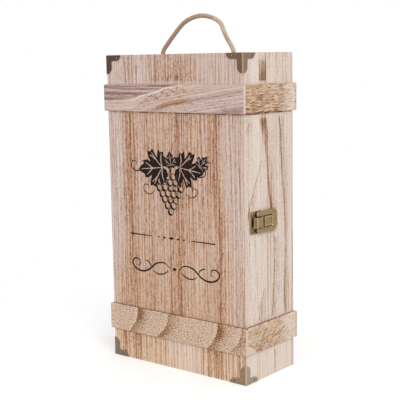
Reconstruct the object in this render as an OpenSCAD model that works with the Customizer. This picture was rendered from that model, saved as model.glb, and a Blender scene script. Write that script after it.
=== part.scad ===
// Wooden box for two wine bottles, standing on its end.
// A shallow lid swings on two side hinges and is held by a toggle latch; a rope loop on top carries it.
// Millimetres. The origin is the centre of the underside, +Z is up, -Y is the front and +X the latch side.

/* [Box] */
// Width of the wooden box, without its battens
box_w = 192; // [176:1:220]
// Depth of the wooden box, without its battens
box_d = 90; // [84:1:104]
// Height of the wooden box
box_h = 350; // [320:1:380]
// Depth of the lid, from the front face to the seam
lid_d = 29; // [27:0.5:34]
// Open line between the lid and the base
seam_gap = 0.4; // [0.2:0.1:0.8]

/* [Boards] */
// Thickness of the front and back panels
panel_t = 4; // [3:0.5:6]
// Thickness of the side boards
side_t = 8; // [7.5:0.5:10]
// Thickness of the top and bottom boards
end_t = 9; // [7:0.5:12]
// Thickness of the divider between the bottles
divider_t = 5; // [4:0.5:8]
// Depth of the grooves that hold the divider
groove_deep = 2; // [1:0.5:3]
// Play of the divider in each groove
divider_play = 0.1; // [0.05:0.05:0.3]
// How far the divider's front edge stands back from the seam
divider_back = 1; // [0.5:0.5:6]

/* [Battens] */
// Thickness of the battens
batten_t = 3; // [2:0.5:4]
// Height of each batten
batten_h = 30; // [20:1:36]
// Distance from the top or bottom of the box to the nearest batten
batten_in = 32.5; // [28:0.5:60]
// Flat cut along the long outer edges of the battens
batten_ease = 0.8; // [0.3:0.1:1.4]
// Radius of the corners of the long battens
batten_r = 1.5; // [0.5:0.5:4]

/* [Corner protectors] */
// Thickness of the stamped sheet
guard_t = 0.8; // [0.5:0.1:1.2]
// Length of the arms along the box's width
guard_x = 21; // [17:0.5:26]
// Length of the arms along the box's depth
guard_y = 20.5; // [17:0.5:24]
// Length of the arms along the box's height
guard_z = 21; // [17:0.5:26]
// Width of the arms that follow the top and bottom edges
guard_edge_w = 6.4; // [5:0.2:7.4]
// Width of the arms that follow the upright edge
guard_post_w = 7; // [5:0.2:9]
// Radius of the inner corner between two arms
guard_fillet = 1.5; // [0.5:0.5:3]
// Play round the flange that is let into the wood
guard_play = 0.1; // [0.05:0.05:0.3]

/* [Nails] */
// Distance of the front nails from the upright edge
nail_front_in = 15; // [12:0.5:16]
// Distance of the side nails from the upright edge
nail_side_in = 13.5; // [10:0.5:16]
// Distance of the nails from the top or bottom of the box
nail_end_in = 3.4; // [3:0.1:4]
// Diameter of the nails' domed heads
nail_head_d = 2.8; // [2:0.2:3.4]
// Height of the nails' domed heads
nail_head_h = 0.7; // [0.4:0.1:1]
// Diameter of the nails
nail_d = 1.2; // [0.8:0.1:1.6]
// Length of the nails under their heads
nail_l = 7; // [5:0.5:7]

/* [Hinges] */
// Distance between the middles of the two hinges
hinge_span = 130; // [90:5:160]
// Length of each hinge
hinge_l = 30; // [24:1:40]
// Width of each leaf, from the hinge's axis
hinge_w = 15; // [14:0.5:20]
// Radius of the leaves' outer corners
leaf_r = 2; // [0.5:0.5:4]
// Thickness of the leaves
leaf_t = 1.2; // [0.8:0.1:1.6]
// Space between the battens and the plane of the hinges' axis
hinge_clear = 0.4; // [0.2:0.1:1]
// Length of the middle knuckle, on the lid's leaf
knuckle_l = 10; // [8:0.5:12]
// Gap between neighbouring knuckles
knuckle_gap = 0.2; // [0.1:0.05:0.4]
// Gap between the knuckles and the wood
barrel_play = 0.1; // [0.05:0.05:0.3]
// Diameter of the hinge pins
hinge_pin_d = 3.8; // [2.6:0.2:4.2]
// Diameter of the heads on the hinge pins
hinge_head_d = 5; // [4.6:0.2:6]
// Height of the heads on the hinge pins
hinge_head_h = 0.8; // [0.4:0.1:1.4]
// Distance from the hinge's axis to its screws
hinge_screw_in = 9.5; // [8:0.5:10]
// Distance between a leaf's two screws
hinge_screw_span = 19; // [15:1:19]

/* [Screws] */
// Diameter of the screws' shanks
screw_d = 2.4; // [1.8:0.1:2.6]
// Length of the screws below the metal that they hold
screw_l = 7; // [5:0.5:7]
// Diameter of the sunk heads
sunk_head_d = 4.4; // [3.6:0.2:4.8]
// Diameter of the domed heads
dome_head_d = 4.4; // [3.6:0.2:4.8]
// Height of the domed heads
dome_head_h = 1.1; // [0.7:0.1:1.3]

/* [Latch] */
// Height of the latch's middle above the ground
latch_z = 173; // [110:1:240]
// Thickness of the latch's two plates
plate_t = 0.8; // [0.6:0.1:1]
// Length of the lid's latch plate
plate_l = 19.8; // [18.8:0.2:22]
// Width of the lid's latch plate
plate_w = 24.6; // [24:0.2:28]
// Radius of the lid plate's corners
plate_r = 2; // [1:0.5:3]
// Radius of the rolled rim along the plate's front edge
rim_r = 1; // [0.8:0.1:1.2]
// Height of the rolled rim's middle above the wood
rim_out = 0.4; // [0.2:0.1:0.6]
// Width of the lever
lever_w = 10.6; // [9.6:0.2:11]
// Width of the finger lip at the lever's end
lip_w = 12.6; // [11:0.2:13]
// Length of the lever from its pivot to the lip's end
lever_l = 16.2; // [15:0.2:17]
// Length of the curled lip
lip_l = 6; // [4:0.5:6]
// Cut across the two corners of the lip
lip_cut = 1.6; // [0.6:0.2:2.4]
// How far the lip curls away from the box
lip_rise = 1.1; // [0.6:0.1:2]
// Thickness of the lever's sheet
lever_t = 0.9; // [0.7:0.1:1.1]
// Distance of the lever's pivot from the seam
pivot_in = 2; // [1.8:0.1:3]
// Height of the lever's pivot above the wood
pivot_out = 3.1; // [3:0.1:3.6]
// Distance between the lever's pivot and the bail's pin
throw_l = 7.4; // [6.6:0.2:8]
// Height of the bail's pin above the wood
bail_pin_out = 2.5; // [2.4:0.1:2.7]
// Radius of the rolled eyes and of the lever's knuckle
eye_r = 1.5; // [1.4:0.05:1.6]
// Diameter of the lever's pivot pin
pivot_pin_d = 1.6; // [1.2:0.1:1.8]
// Diameter of the bail's pin
bail_pin_d = 1.4; // [1.1:0.1:1.6]
// Thickness of the latch plate's ears
ear_t = 0.7; // [0.5:0.1:0.8]
// Side play between lever, ears and bail
latch_play = 0.15; // [0.1:0.05:0.2]
// Width of the bail's legs
leg_w = 5.4; // [4.6:0.2:6]
// Length of the bail's web
web_l = 9.4; // [7:0.2:11]
// Thickness of the bail
bail_t = 1.8; // [1.4:0.1:2]
// Height of the bail's underside above the latch's plates
bail_lift = 0.6; // [0.4:0.1:0.9]
// How far the bail's pin stays back from the outer sides of the legs
bail_pin_short = 0.3; // [0.1:0.1:0.6]
// Radius of the bail's outer corners
bail_r = 6; // [3:0.5:7]
// Radius of the bail's inner corners
bail_inner_r = 2.2; // [1:0.2:3]
// Rounding of the bail's outer edges
bail_ease = 0.7; // [0.3:0.1:0.8]
// Distance of the raised catch from the seam
catch_in = 1.6; // [1.4:0.1:2.4]
// Length of the raised catch
catch_l = 14.5; // [12:0.5:17]
// Radius of the raised catch's far corners
catch_r = 2.2; // [1.2:0.2:3]
// Height of the raised catch above its plate
catch_h = 3.2; // [2.8:0.1:3.4]
// Depth of the dish in the raised catch
catch_dish = 0.4; // [0.2:0.1:0.8]
// Width of the raised catch's rim
catch_rim = 1.2; // [0.8:0.1:1.8]
// Gap between the bail and the catch that it pulls on
catch_gap = 0.3; // [0.2:0.05:0.4]
// Width of the strike plate
strike_w = 21.6; // [20.6:0.2:23]
// Width of the strike plate in front of the raised catch
strike_lip = 0.6; // [0.2:0.1:1]
// How far the strike plate stays back under the bail's web
strike_short = 1.2; // [0.6:0.2:2]
// Radius of the strike plate's far corners
strike_r = 5; // [2:0.5:6]
// Distance between the two screws of the lid plate
plate_screw_span = 17; // [16:0.5:18]
// Distance of the lid plate's screws from its front edge
plate_screw_in = 4.4; // [4.2:0.1:5]
// Distance between the two screws of the strike plate
strike_screw_span = 14; // [12:0.5:15]

/* [Rope handle] */
// Diameter of the rope
rope_d = 5; // [4:0.5:6]
// Distance between the two rope holes
rope_span = 101; // [90:1:112]
// Play of the rope in its holes
rope_play = 0.3; // [0.2:0.1:0.8]
// Height above the box at which the rope bends
rope_bend_z = 3; // [2.8:0.1:4]
// Distance from the rope's middle line to that of the turns in its knots
wrap_r = 4.6; // [4:0.2:5]
// Step from one turn of a knot to the next, which press into each other
wrap_step = 4.2; // [3.4:0.2:4.6]
// Length of the rope's tail below its knot
tail_l = 4; // [2:1:8]
// Gap between the rope's fixed ends and its swinging loop
rope_gap = 0.3; // [0.2:0.1:0.5]

/* [Fits] */
// Radial play of a pin that turns in its bore
pin_play = 0.05; // [0.03:0.01:0.08]
// Radial play of a pin, nail or screw that is driven tight
pin_seat = 0.02; // [0.01:0.01:0.02]

/* [Hidden] */
$fn = 48;

// Faces of the box, and the seam between the lid and the base
side_x = box_w / 2;
front_y = -box_d / 2;
back_y = box_d / 2;
seam_y = front_y + lid_d;
lid_back_y = seam_y - seam_gap / 2;
base_front_y = seam_y + seam_gap / 2;
inner_x = side_x - side_t;

// Longer than any one cut
far = 60;

// Hinge axis, measured from the side face, and the barrel that just clears the wood
hinge_out = batten_t + hinge_clear;
barrel_r = hinge_out - barrel_play;

// Latch, measured outwards from the side face and backwards from the seam
pivot_y = -pivot_in;
bail_pin_y = pivot_y - throw_l;
plate_edge_y = -seam_gap / 2;
plate_front_y = plate_edge_y - plate_l;
plate_screw_y = plate_front_y + plate_screw_in;
lever_top = pivot_out + eye_r;
lip_start_y = pivot_y - lever_l + lip_l;
ear_x = lever_w / 2 + latch_play;
leg_x = ear_x + ear_t + latch_play;
bail_w = 2 * (leg_x + leg_w);
catch_end_y = catch_in + catch_l;
web_y = catch_end_y + catch_gap;
bail_end_y = web_y + web_l;
strike_end_y = bail_end_y - strike_short;
strike_screw_y = (catch_end_y + strike_end_y) / 2;
bail_low = plate_t + bail_lift;
bail_high = bail_low + bail_t;

// Rope: points on the loop's middle line, as distance from the box's middle and height above the bends,
// for holes that are route_span apart
rope_r = rope_d / 2;
route_span = 101;
rope_route = [
    [-43, 8], [-33.5, 18.5], [-21.5, 29.5], [-13.5, 34.5], [-5.5, 37.2], [3.5, 38.6], [12, 38.4],
    [20.5, 36.4], [28.5, 33], [33.7, 28], [36.5, 21.5], [40, 15], [45.2, 7.5]
];
rope_sides = 12;

// How far the fixed ends of the rope reach below the top of the box
end_low = end_t + rope_d + wrap_step + tail_l;

// Boards

// A plain board between its lowest and its highest corner
module board(low, high) {
    translate(low) cube(high - low);
}

// One side board, on the side given by s: -1 left, 1 right
module side_board(s, low_y, high_y) {
    low_x = s < 0 ? -side_x : inner_x;
    board([low_x, low_y, 0], [low_x + side_t, high_y, box_h]);
}

// The lid's wood with everything that is cut into it
module lid_wood() {
    difference() {
        children();
        every_corner() {
            guard_flange(-1, guard_play);
            nail_spots() shank(nail_d / 2 + pin_seat, nail_l);
        }
        for (h = [-1, 1]) on_hinge(h) leaf_screw_spots(-1) sunk_screw(leaf_t, pin_seat);
        on_latch() plate_screw_spots() shank(screw_d / 2 + pin_seat, plate_t + screw_l);
    }
}

// The base's wood with everything that is cut into it
module base_wood() {
    difference() {
        children();
        for (h = [-1, 1]) on_hinge(h) leaf_screw_spots(1) sunk_screw(leaf_t, pin_seat);
        on_latch() strike_screw_spots() sunk_screw(plate_t, pin_seat);
    }
}

module front_panel() {
    color("tan") lid_wood() board([-side_x, front_y, 0], [side_x, front_y + panel_t, box_h]);
}

module lid_side_left() {
    color("wheat") lid_wood() side_board(-1, front_y + panel_t, lid_back_y);
}

module lid_side_right() {
    color("wheat") lid_wood() side_board(1, front_y + panel_t, lid_back_y);
}

module lid_end(low_z) {
    color("burlywood") lid_wood()
        board([-inner_x, front_y + panel_t, low_z], [inner_x, lid_back_y, low_z + end_t]);
}

module lid_top_board() {
    lid_end(box_h - end_t);
}

module lid_bottom_board() {
    lid_end(0);
}

module back_panel() {
    color("tan") board([-side_x, back_y - panel_t, 0], [side_x, back_y, box_h]);
}

module base_side_left() {
    color("wheat") base_wood() side_board(-1, base_front_y, back_y - panel_t);
}

module base_side_right() {
    color("wheat") base_wood() side_board(1, base_front_y, back_y - panel_t);
}

// A top or bottom board of the base, with the groove for the divider
module base_end(low_z) {
    difference() {
        board([-inner_x, base_front_y, low_z], [inner_x, back_y - panel_t, low_z + end_t]);
        divider_slot();
    }
}

module divider_slot() {
    wide = divider_t / 2 + divider_play;
    board(
        [-wide, base_front_y + divider_back - divider_play, end_t - groove_deep - divider_play],
        [wide, back_y, box_h - end_t + groove_deep + divider_play]
    );
}

module top_board() {
    color("burlywood") difference() {
        base_end(box_h - end_t);
        for (s = [-1, 1])
            translate([s * rope_span / 2, 0, box_h - far]) cylinder(r = rope_r + rope_play, h = 2 * far);
    }
}

module bottom_board() {
    color("burlywood") base_end(0);
}

module divider() {
    color("wheat") board(
        [-divider_t / 2, base_front_y + divider_back, end_t - groove_deep],
        [divider_t / 2, back_y - panel_t, box_h - end_t + groove_deep]
    );
}

// Battens

// Section of a batten, thickness along x and height along y, its outer edges cut flat
module batten_section() {
    polygon([
        [0, 0], [batten_t - batten_ease, 0], [batten_t, batten_ease],
        [batten_t, batten_h - batten_ease], [batten_t - batten_ease, batten_h], [0, batten_h]
    ]);
}

// A rounded rectangle from the origin to size
module rounded(size, r) {
    union() {
        translate([r, 0]) square([size.x - 2 * r, size.y]);
        translate([0, r]) square([size.x, size.y - 2 * r]);
        for (x = [r, size.x - r], y = [r, size.y - r]) translate([x, y]) circle(r);
    }
}

// Lower edge of the top or bottom band
function band_z(top) = top ? box_h - batten_in - batten_h : batten_in;

// A batten right across the front or the back, on the side given by s: -1 front, 1 back
module long_batten(s, top) {
    long = box_w + 2 * batten_t;
    color("peru") translate([0, s * box_d / 2, band_z(top)]) mirror([0, s < 0 ? 1 : 0, 0]) intersection() {
        translate([-long / 2, batten_t, 0]) rotate([90, 0, 0]) linear_extrude(batten_t) rounded([long, batten_h], batten_r);
        translate([long / 2, 0, 0]) rotate([90, 0, -90]) linear_extrude(long) mirror([1, 0]) batten_section();
    }
}

// A batten on a side face, on the side given by s: -1 left, 1 right
module short_batten(s, top, low_y, high_y) {
    color("peru") translate([s * side_x, high_y, band_z(top)]) mirror([s < 0 ? 1 : 0, 0, 0])
        rotate([90, 0, 0]) linear_extrude(high_y - low_y) batten_section();
}

module front_batten_top() {
    long_batten(-1, true);
}

module front_batten_bottom() {
    long_batten(-1, false);
}

module back_batten_top() {
    long_batten(1, true);
}

module back_batten_bottom() {
    long_batten(1, false);
}

module lid_batten(s, top) {
    short_batten(s, top, front_y, lid_back_y);
}

module base_batten(s, top) {
    short_batten(s, top, base_front_y, back_y);
}

module lid_batten_left_top() {
    lid_batten(-1, true);
}

module lid_batten_left_bottom() {
    lid_batten(-1, false);
}

module lid_batten_right_top() {
    lid_batten(1, true);
}

module lid_batten_right_bottom() {
    lid_batten(1, false);
}

module base_batten_left_top() {
    base_batten(-1, true);
}

module base_batten_left_bottom() {
    base_batten(-1, false);
}

module base_batten_right_top() {
    base_batten(1, true);
}

module base_batten_right_bottom() {
    base_batten(1, false);
}

// Corner protectors
// Each is drawn at a corner whose x, y and z run inwards along the box's width, depth and height.

module at_corner(s, top) {
    translate([s * side_x, front_y, top ? box_h : 0])
        mirror([s > 0 ? 1 : 0, 0, 0])
            mirror([0, 0, top ? 1 : 0])
                children();
}

module every_corner() {
    for (s = [-1, 1], top = [false, true]) at_corner(s, top) children();
}

// An arm along x that ends in a quarter circle, its straight edge on y = 0
module guard_arm(long, wide) {
    square([long - wide, wide]);
    translate([long - wide, 0]) intersection() {
        circle(wide);
        square(wide);
    }
}

// Two arms at a right angle, the first along x and the second along y
module guard_outline(long_a, wide_a, long_b, wide_b) {
    guard_arm(long_a, wide_a);
    mirror([1, -1]) guard_arm(long_b, wide_b);
    difference() {
        square([wide_b + guard_fillet, wide_a + guard_fillet]);
        translate([wide_b + guard_fillet, wide_a + guard_fillet]) circle(guard_fillet);
    }
}

// The flange that is let into the end of the box, or with play the pocket that is cut for it
module guard_flange(low_z, play) {
    translate([0, 0, low_z]) linear_extrude(guard_t - low_z)
        guard_outline(guard_x + play, guard_edge_w + play, guard_y + play, guard_edge_w + play);
}

// Front and side plates, each from the fold at the end of the box onwards
module guard_plates() {
    intersection() {
        union() {
            rotate([90, 0, 0]) linear_extrude(guard_t)
                guard_outline(guard_x, guard_edge_w, guard_z, guard_post_w);
            translate([-guard_t, 0, 0]) rotate([90, 0, 90]) linear_extrude(guard_t)
                guard_outline(guard_y, guard_edge_w, guard_z, guard_post_w);
        }
        translate([-guard_t, -guard_t, guard_t]) cube(far);
    }
}

// A rounded fold along z, on the side where x and y are negative
module fold(long) {
    intersection() {
        cylinder(r = guard_t, h = long);
        translate([-guard_t, -guard_t, 0]) cube([guard_t, guard_t, long]);
    }
}

module guard_folds() {
    translate([0, 0, guard_t]) {
        fold(guard_z - guard_t);
        mirror([1, 0, -1]) fold(guard_x);
        mirror([0, 1, -1]) fold(guard_y);
        intersection() {
            sphere(guard_t);
            translate(-guard_t * [1, 1, 1]) cube(guard_t);
        }
    }
}

// Places for the nails of one protector, with z pointing out of the sheet
module nail_spots() {
    translate([nail_front_in, -guard_t, nail_end_in]) rotate([90, 0, 0]) children();
    translate([-guard_t, nail_side_in, nail_end_in]) rotate([0, -90, 0]) children();
}

module guard(s, top) {
    color("#6d5a45") at_corner(s, top) difference() {
        union() {
            guard_plates();
            guard_folds();
            guard_flange(0, 0);
        }
        nail_spots() shank(nail_d / 2 + pin_seat, nail_l);
    }
}

module guard_top_left() {
    guard(-1, true);
}

module guard_top_right() {
    guard(1, true);
}

module guard_bottom_left() {
    guard(-1, false);
}

module guard_bottom_right() {
    guard(1, false);
}

module guard_nails() {
    color("#8a7a62") every_corner() nail_spots() {
        dome(nail_head_d, nail_head_h);
        shank(nail_d / 2, nail_l);
    }
}

// Fasteners, with z = 0 on the outer face of what they hold and z pointing out

// A cap cut from a ball
module dome(d, h) {
    ball_r = (d * d / 4 + h * h) / (2 * h);
    intersection() {
        translate([0, 0, h - ball_r]) sphere(ball_r);
        cylinder(d = d, h = h);
    }
}

module shank(r, long) {
    translate([0, 0, -long]) cylinder(r = r, h = long);
}

// A screw whose head lies flush, or with play the hole that it sinks into
module sunk_screw(metal_t, play) {
    sink = (sunk_head_d - screw_d) / 2;
    shank(screw_d / 2 + play, metal_t + screw_l);
    translate([0, 0, -sink])
        cylinder(r1 = screw_d / 2 + play, r2 = sunk_head_d / 2 + play, h = sink);
}

// Hinges
// A hinge is drawn with x pointing out of the side face, y back from the seam and z up from its middle.

module on_hinge(s) {
    translate([-side_x, seam_y, box_h / 2 + s * hinge_span / 2]) mirror([1, 0, 0]) children();
}

// Places for the screws of the leaf on the side given by s: -1 lid, 1 base
module leaf_screw_spots(s) {
    for (z = [-1, 1])
        translate([leaf_t, s * hinge_screw_in, z * hinge_screw_span / 2]) rotate([0, 90, 0]) children();
}

module barrel(r, low_z, high_z) {
    translate([hinge_out, 0, low_z]) cylinder(r = r, h = high_z - low_z);
}

// A leaf seen from outside, from the axis on y = 0 to its rounded end at hinge_w
module leaf_outline(knuckles) {
    clear = barrel_r + 2 * barrel_play;
    rounded_end(clear, hinge_w, hinge_l / 2, leaf_r);
    for (k = knuckles) translate([0, k[0]]) square([clear, k[1] - k[0]]);
}

// One leaf, with a knuckle over each stretch of z in the list
module hinge_leaf(s, knuckles, bore_play) {
    color("#7a6a50") difference() {
        union() {
            mirror([0, s < 0 ? 1 : 0, 0]) rotate([90, 0, 90]) linear_extrude(leaf_t) leaf_outline(knuckles);
            for (k = knuckles) barrel(barrel_r, k[0], k[1]);
        }
        barrel(hinge_pin_d / 2 + bore_play, -hinge_l, hinge_l);
        leaf_screw_spots(s) sunk_screw(leaf_t, pin_seat);
    }
}

module lid_leaf() {
    hinge_leaf(-1, [[-knuckle_l / 2, knuckle_l / 2]], pin_play);
}

module base_leaf() {
    start = knuckle_l / 2 + knuckle_gap;
    hinge_leaf(1, [[-hinge_l / 2, -start], [start, hinge_l / 2]], pin_seat);
}

module hinge_pin() {
    color("#8a7a62") {
        barrel(hinge_pin_d / 2, -hinge_l / 2, hinge_l / 2);
        for (up = [0, 1]) mirror([0, 0, up]) translate([hinge_out, 0, hinge_l / 2]) dome(hinge_head_d, hinge_head_h);
    }
}

module hinge_screws(s) {
    color("#8a7a62") for (h = [-1, 1]) on_hinge(h) leaf_screw_spots(s) sunk_screw(leaf_t, 0);
}

module hinge_leaf_lid_top() {
    on_hinge(1) lid_leaf();
}

module hinge_leaf_lid_bottom() {
    on_hinge(-1) lid_leaf();
}

module hinge_leaf_base_top() {
    on_hinge(1) base_leaf();
}

module hinge_leaf_base_bottom() {
    on_hinge(-1) base_leaf();
}

module hinge_pin_top() {
    on_hinge(1) hinge_pin();
}

module hinge_pin_bottom() {
    on_hinge(-1) hinge_pin();
}

module hinge_screws_lid() {
    hinge_screws(-1);
}

module hinge_screws_base() {
    hinge_screws(1);
}

// Toggle latch
// It is drawn with x pointing out of the side face, y back from the seam and z up from its middle.

module on_latch() {
    translate([side_x, seam_y, latch_z]) children();
}

// A sheet drawn as y and z, thick from low_x to high_x
module flat_sheet(low_x, high_x) {
    translate([low_x, 0, 0]) rotate([90, 0, 90]) linear_extrude(high_x - low_x) children();
}

// A profile drawn as x and y, running from low_z to high_z
module upright(low_z, high_z) {
    translate([0, 0, low_z]) linear_extrude(high_z - low_z) children();
}

// A round bar or bore along z through a point of the latch
module cross_pin(x, y, r, wide) {
    upright(-wide / 2, wide / 2) translate([x, y]) circle(r);
}

module plate_screw_spots() {
    for (s = [-1, 1])
        translate([plate_t, plate_screw_y, s * plate_screw_span / 2]) rotate([0, 90, 0]) children();
}

module strike_screw_spots() {
    for (s = [-1, 1])
        translate([plate_t, strike_screw_y, s * strike_screw_span / 2]) rotate([0, 90, 0]) children();
}

module ear() {
    translate([0, pivot_y - eye_r]) square([pivot_out, 2 * eye_r]);
    translate([pivot_out, pivot_y]) circle(eye_r);
}

module latch_plate() {
    color("#94825e") on_latch() difference() {
        union() {
            flat_sheet(0, plate_t) translate([plate_front_y, -plate_w / 2]) rounded([plate_l, plate_w], plate_r);
            upright(-plate_w / 2 + plate_r, plate_w / 2 - plate_r) intersection() {
                translate([rim_out, plate_front_y + rim_r]) circle(rim_r);
                translate([0, plate_front_y]) square(far);
            }
            for (s = [0, 1]) mirror([0, 0, s]) upright(ear_x, ear_x + ear_t) ear();
        }
        cross_pin(pivot_out, pivot_y, pivot_pin_d / 2 + pin_seat, plate_w);
        plate_screw_spots() shank(screw_d / 2 + pin_seat, far);
    }
}

module latch_plate_screws() {
    color("#8a7a62") on_latch() plate_screw_spots() {
        dome(dome_head_d, dome_head_h);
        shank(screw_d / 2, plate_t + screw_l);
    }
}

module latch_pivot_pin() {
    color("#b3a27c") on_latch() cross_pin(pivot_out, pivot_y, pivot_pin_d / 2, 2 * (ear_x + ear_t));
}

// The lever seen from outside, widening into its lip
module lever_outline() {
    end_y = pivot_y - lever_l;
    for (s = [0, 1]) mirror([0, s]) polygon([
        [pivot_y, 0], [pivot_y, lever_w / 2], [lip_start_y, lever_w / 2],
        [end_y + lip_cut, lip_w / 2], [end_y, lip_w / 2 - lip_cut], [end_y, 0]
    ]);
}

// The lever's sheet seen from its edge: straight, then curling outwards
module lever_sheet() {
    curl_r = (lip_l * lip_l + lip_rise * lip_rise) / (2 * lip_rise);
    translate([lever_top - lever_t, lip_start_y]) square([lever_t, pivot_y - lip_start_y]);
    translate([lever_top + curl_r, lip_start_y]) intersection() {
        difference() {
            circle(curl_r + lever_t, $fn = 120);
            circle(curl_r, $fn = 120);
        }
        translate([-far, -lip_l]) square([far, lip_l]);
    }
}

// One of the lever's two side walls, with an eye at each pin
module lever_wall() {
    translate([bail_pin_out, bail_pin_y]) square([lever_top - lever_t / 2 - bail_pin_out, throw_l]);
    translate([bail_pin_out, bail_pin_y]) circle(eye_r);
    translate([pivot_out, pivot_y]) circle(eye_r);
}

module latch_lever() {
    color("#94825e") on_latch() difference() {
        union() {
            intersection() {
                flat_sheet(0, far) lever_outline();
                upright(-lip_w, lip_w) lever_sheet();
            }
            for (s = [0, 1]) mirror([0, 0, s]) upright(lever_w / 2 - lever_t, lever_w / 2) lever_wall();
            cross_pin(pivot_out, pivot_y, eye_r, lever_w);
        }
        cross_pin(pivot_out, pivot_y, pivot_pin_d / 2 + pin_play, far);
        cross_pin(bail_pin_out, bail_pin_y, bail_pin_d / 2 + pin_seat, far);
    }
}

module bail_pin() {
    color("#b3a27c") on_latch() cross_pin(bail_pin_out, bail_pin_y, bail_pin_d / 2, bail_w - 2 * bail_pin_short);
}

// A strip from low to high whose two far corners are rounded
module rounded_end(low, high, half_w, r) {
    translate([low, -half_w]) square([high - r - low, 2 * half_w]);
    translate([low, -half_w + r]) square([high - low, 2 * (half_w - r)]);
    for (s = [-1, 1]) translate([high - r, s * (half_w - r)]) circle(r);
}

module latch_bail() {
    color("#94825e") on_latch() difference() {
        union() {
            intersection() {
                flat_sheet(bail_low, bail_high) difference() {
                    rounded_end(bail_pin_y, bail_end_y, bail_w / 2, bail_r);
                    rounded_end(bail_pin_y - 1, web_y, leg_x, bail_inner_r);
                }
                translate([0, far, 0]) rotate([90, 0, 0]) linear_extrude(2 * far)
                    rounded_end(0, bail_high, bail_w / 2, bail_ease);
                upright(-bail_w, bail_w) translate([0, bail_end_y - far]) rounded_end(0, bail_high, far, bail_ease);
            }
            for (s = [0, 1]) mirror([0, 0, s]) upright(leg_x, bail_w / 2)
                translate([bail_pin_out, bail_pin_y]) circle(eye_r);
        }
        cross_pin(bail_pin_out, bail_pin_y, bail_pin_d / 2 + pin_play, far);
    }
}

module strike_plate() {
    catch_top = plate_t + catch_h;
    color("#94825e") on_latch() difference() {
        union() {
            flat_sheet(0, plate_t) rounded_end(catch_in - strike_lip, strike_end_y, strike_w / 2, strike_r);
            flat_sheet(0, catch_top) rounded_end(catch_in, catch_end_y, lever_w / 2, catch_r);
        }
        flat_sheet(catch_top - catch_dish, far) rounded_end(
            catch_in + catch_rim, catch_end_y - catch_rim, lever_w / 2 - catch_rim, catch_r - catch_rim / 2
        );
        strike_screw_spots() sunk_screw(plate_t, pin_seat);
    }
}

module strike_screws() {
    color("#8a7a62") on_latch() strike_screw_spots() sunk_screw(plate_t, 0);
}

// Rope handle

// The fixed ends: each stands in its hole, rounded on top and knotted under the board
module rope_ends() {
    color("#c9ab83") for (s = [-1, 1]) translate([s * rope_span / 2, 0, box_h]) {
        translate([0, 0, rope_bend_z]) sphere(rope_r);
        translate([0, 0, -end_low]) cylinder(r = rope_r, h = end_low + rope_bend_z);
        for (turn = [0, 1]) translate([0, 0, -end_t - rope_r - turn * wrap_step])
            rotate_extrude() translate([wrap_r, 0]) circle(rope_r);
    }
}

// Where the loop starts or ends: just clear of the ball at the bend, on the way to its nearest point
function loop_end(bend, next) = bend + (rope_r + rope_gap) * (next - bend) / norm(next - bend);

// The loop's middle line, from end to end
loop_line = let (
    bend = [rope_span / 2, 0, box_h + rope_bend_z],
    inner = [for (p = rope_route) [p.x * rope_span / route_span, 0, bend.z + p.y]]
) [loop_end([-bend.x, 0, bend.z], inner[0]), each inner, loop_end(bend, inner[len(inner) - 1])];

function loop_dir(i) = loop_line[min(i + 1, len(loop_line) - 1)] - loop_line[max(i - 1, 0)];
function loop_out(i) = let (d = loop_dir(i)) [-d.z, 0, d.x] / norm(d);
function loop_ring(i) = [
    for (a = [0 : 360 / rope_sides : 359])
        loop_line[i] + rope_r * (cos(a) * loop_out(i) + [0, sin(a), 0])
];
function ring_index(i, a) = i * rope_sides + a % rope_sides;

// The loop that swings over the top of the box
module rope_loop() {
    rings = len(loop_line);
    points = [for (i = [0 : rings - 1]) each loop_ring(i)];
    walls = [
        for (i = [0 : rings - 2], a = [0 : rope_sides - 1]) each [
            [ring_index(i, a), ring_index(i, a + 1), ring_index(i + 1, a)],
            [ring_index(i, a + 1), ring_index(i + 1, a + 1), ring_index(i + 1, a)]
        ]
    ];
    start_cap = [for (a = [rope_sides - 1 : -1 : 0]) a];
    end_cap = [for (a = [0 : rope_sides - 1]) ring_index(rings - 1, a)];
    color("#c9ab83") polyhedron(points, concat(walls, [start_cap, end_cap]));
}

front_panel();
lid_side_left();
lid_side_right();
lid_top_board();
lid_bottom_board();
front_batten_top();
front_batten_bottom();
lid_batten_left_top();
lid_batten_left_bottom();
lid_batten_right_top();
lid_batten_right_bottom();
guard_top_left();
guard_top_right();
guard_bottom_left();
guard_bottom_right();
guard_nails();
hinge_leaf_lid_top();
hinge_leaf_lid_bottom();
hinge_screws_lid();
latch_plate();
latch_plate_screws();
latch_pivot_pin();
latch_lever();
bail_pin();
latch_bail();
back_panel();
base_side_left();
base_side_right();
top_board();
bottom_board();
divider();
back_batten_top();
back_batten_bottom();
base_batten_left_top();
base_batten_left_bottom();
base_batten_right_top();
base_batten_right_bottom();
hinge_leaf_base_top();
hinge_leaf_base_bottom();
hinge_pin_top();
hinge_pin_bottom();
hinge_screws_base();
strike_plate();
strike_screws();
rope_ends();
rope_loop();
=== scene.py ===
"""The looks of the wooden wine box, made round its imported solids.

Metres, in the solids' own frame: +Z is up, -Y the front and +X the latch side. Lengths named in
millimetres are turned into metres where they are used.
"""

import math
from types import SimpleNamespace

import bmesh
import bpy
import numpy as np
from mathutils import Matrix, Vector


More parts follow.
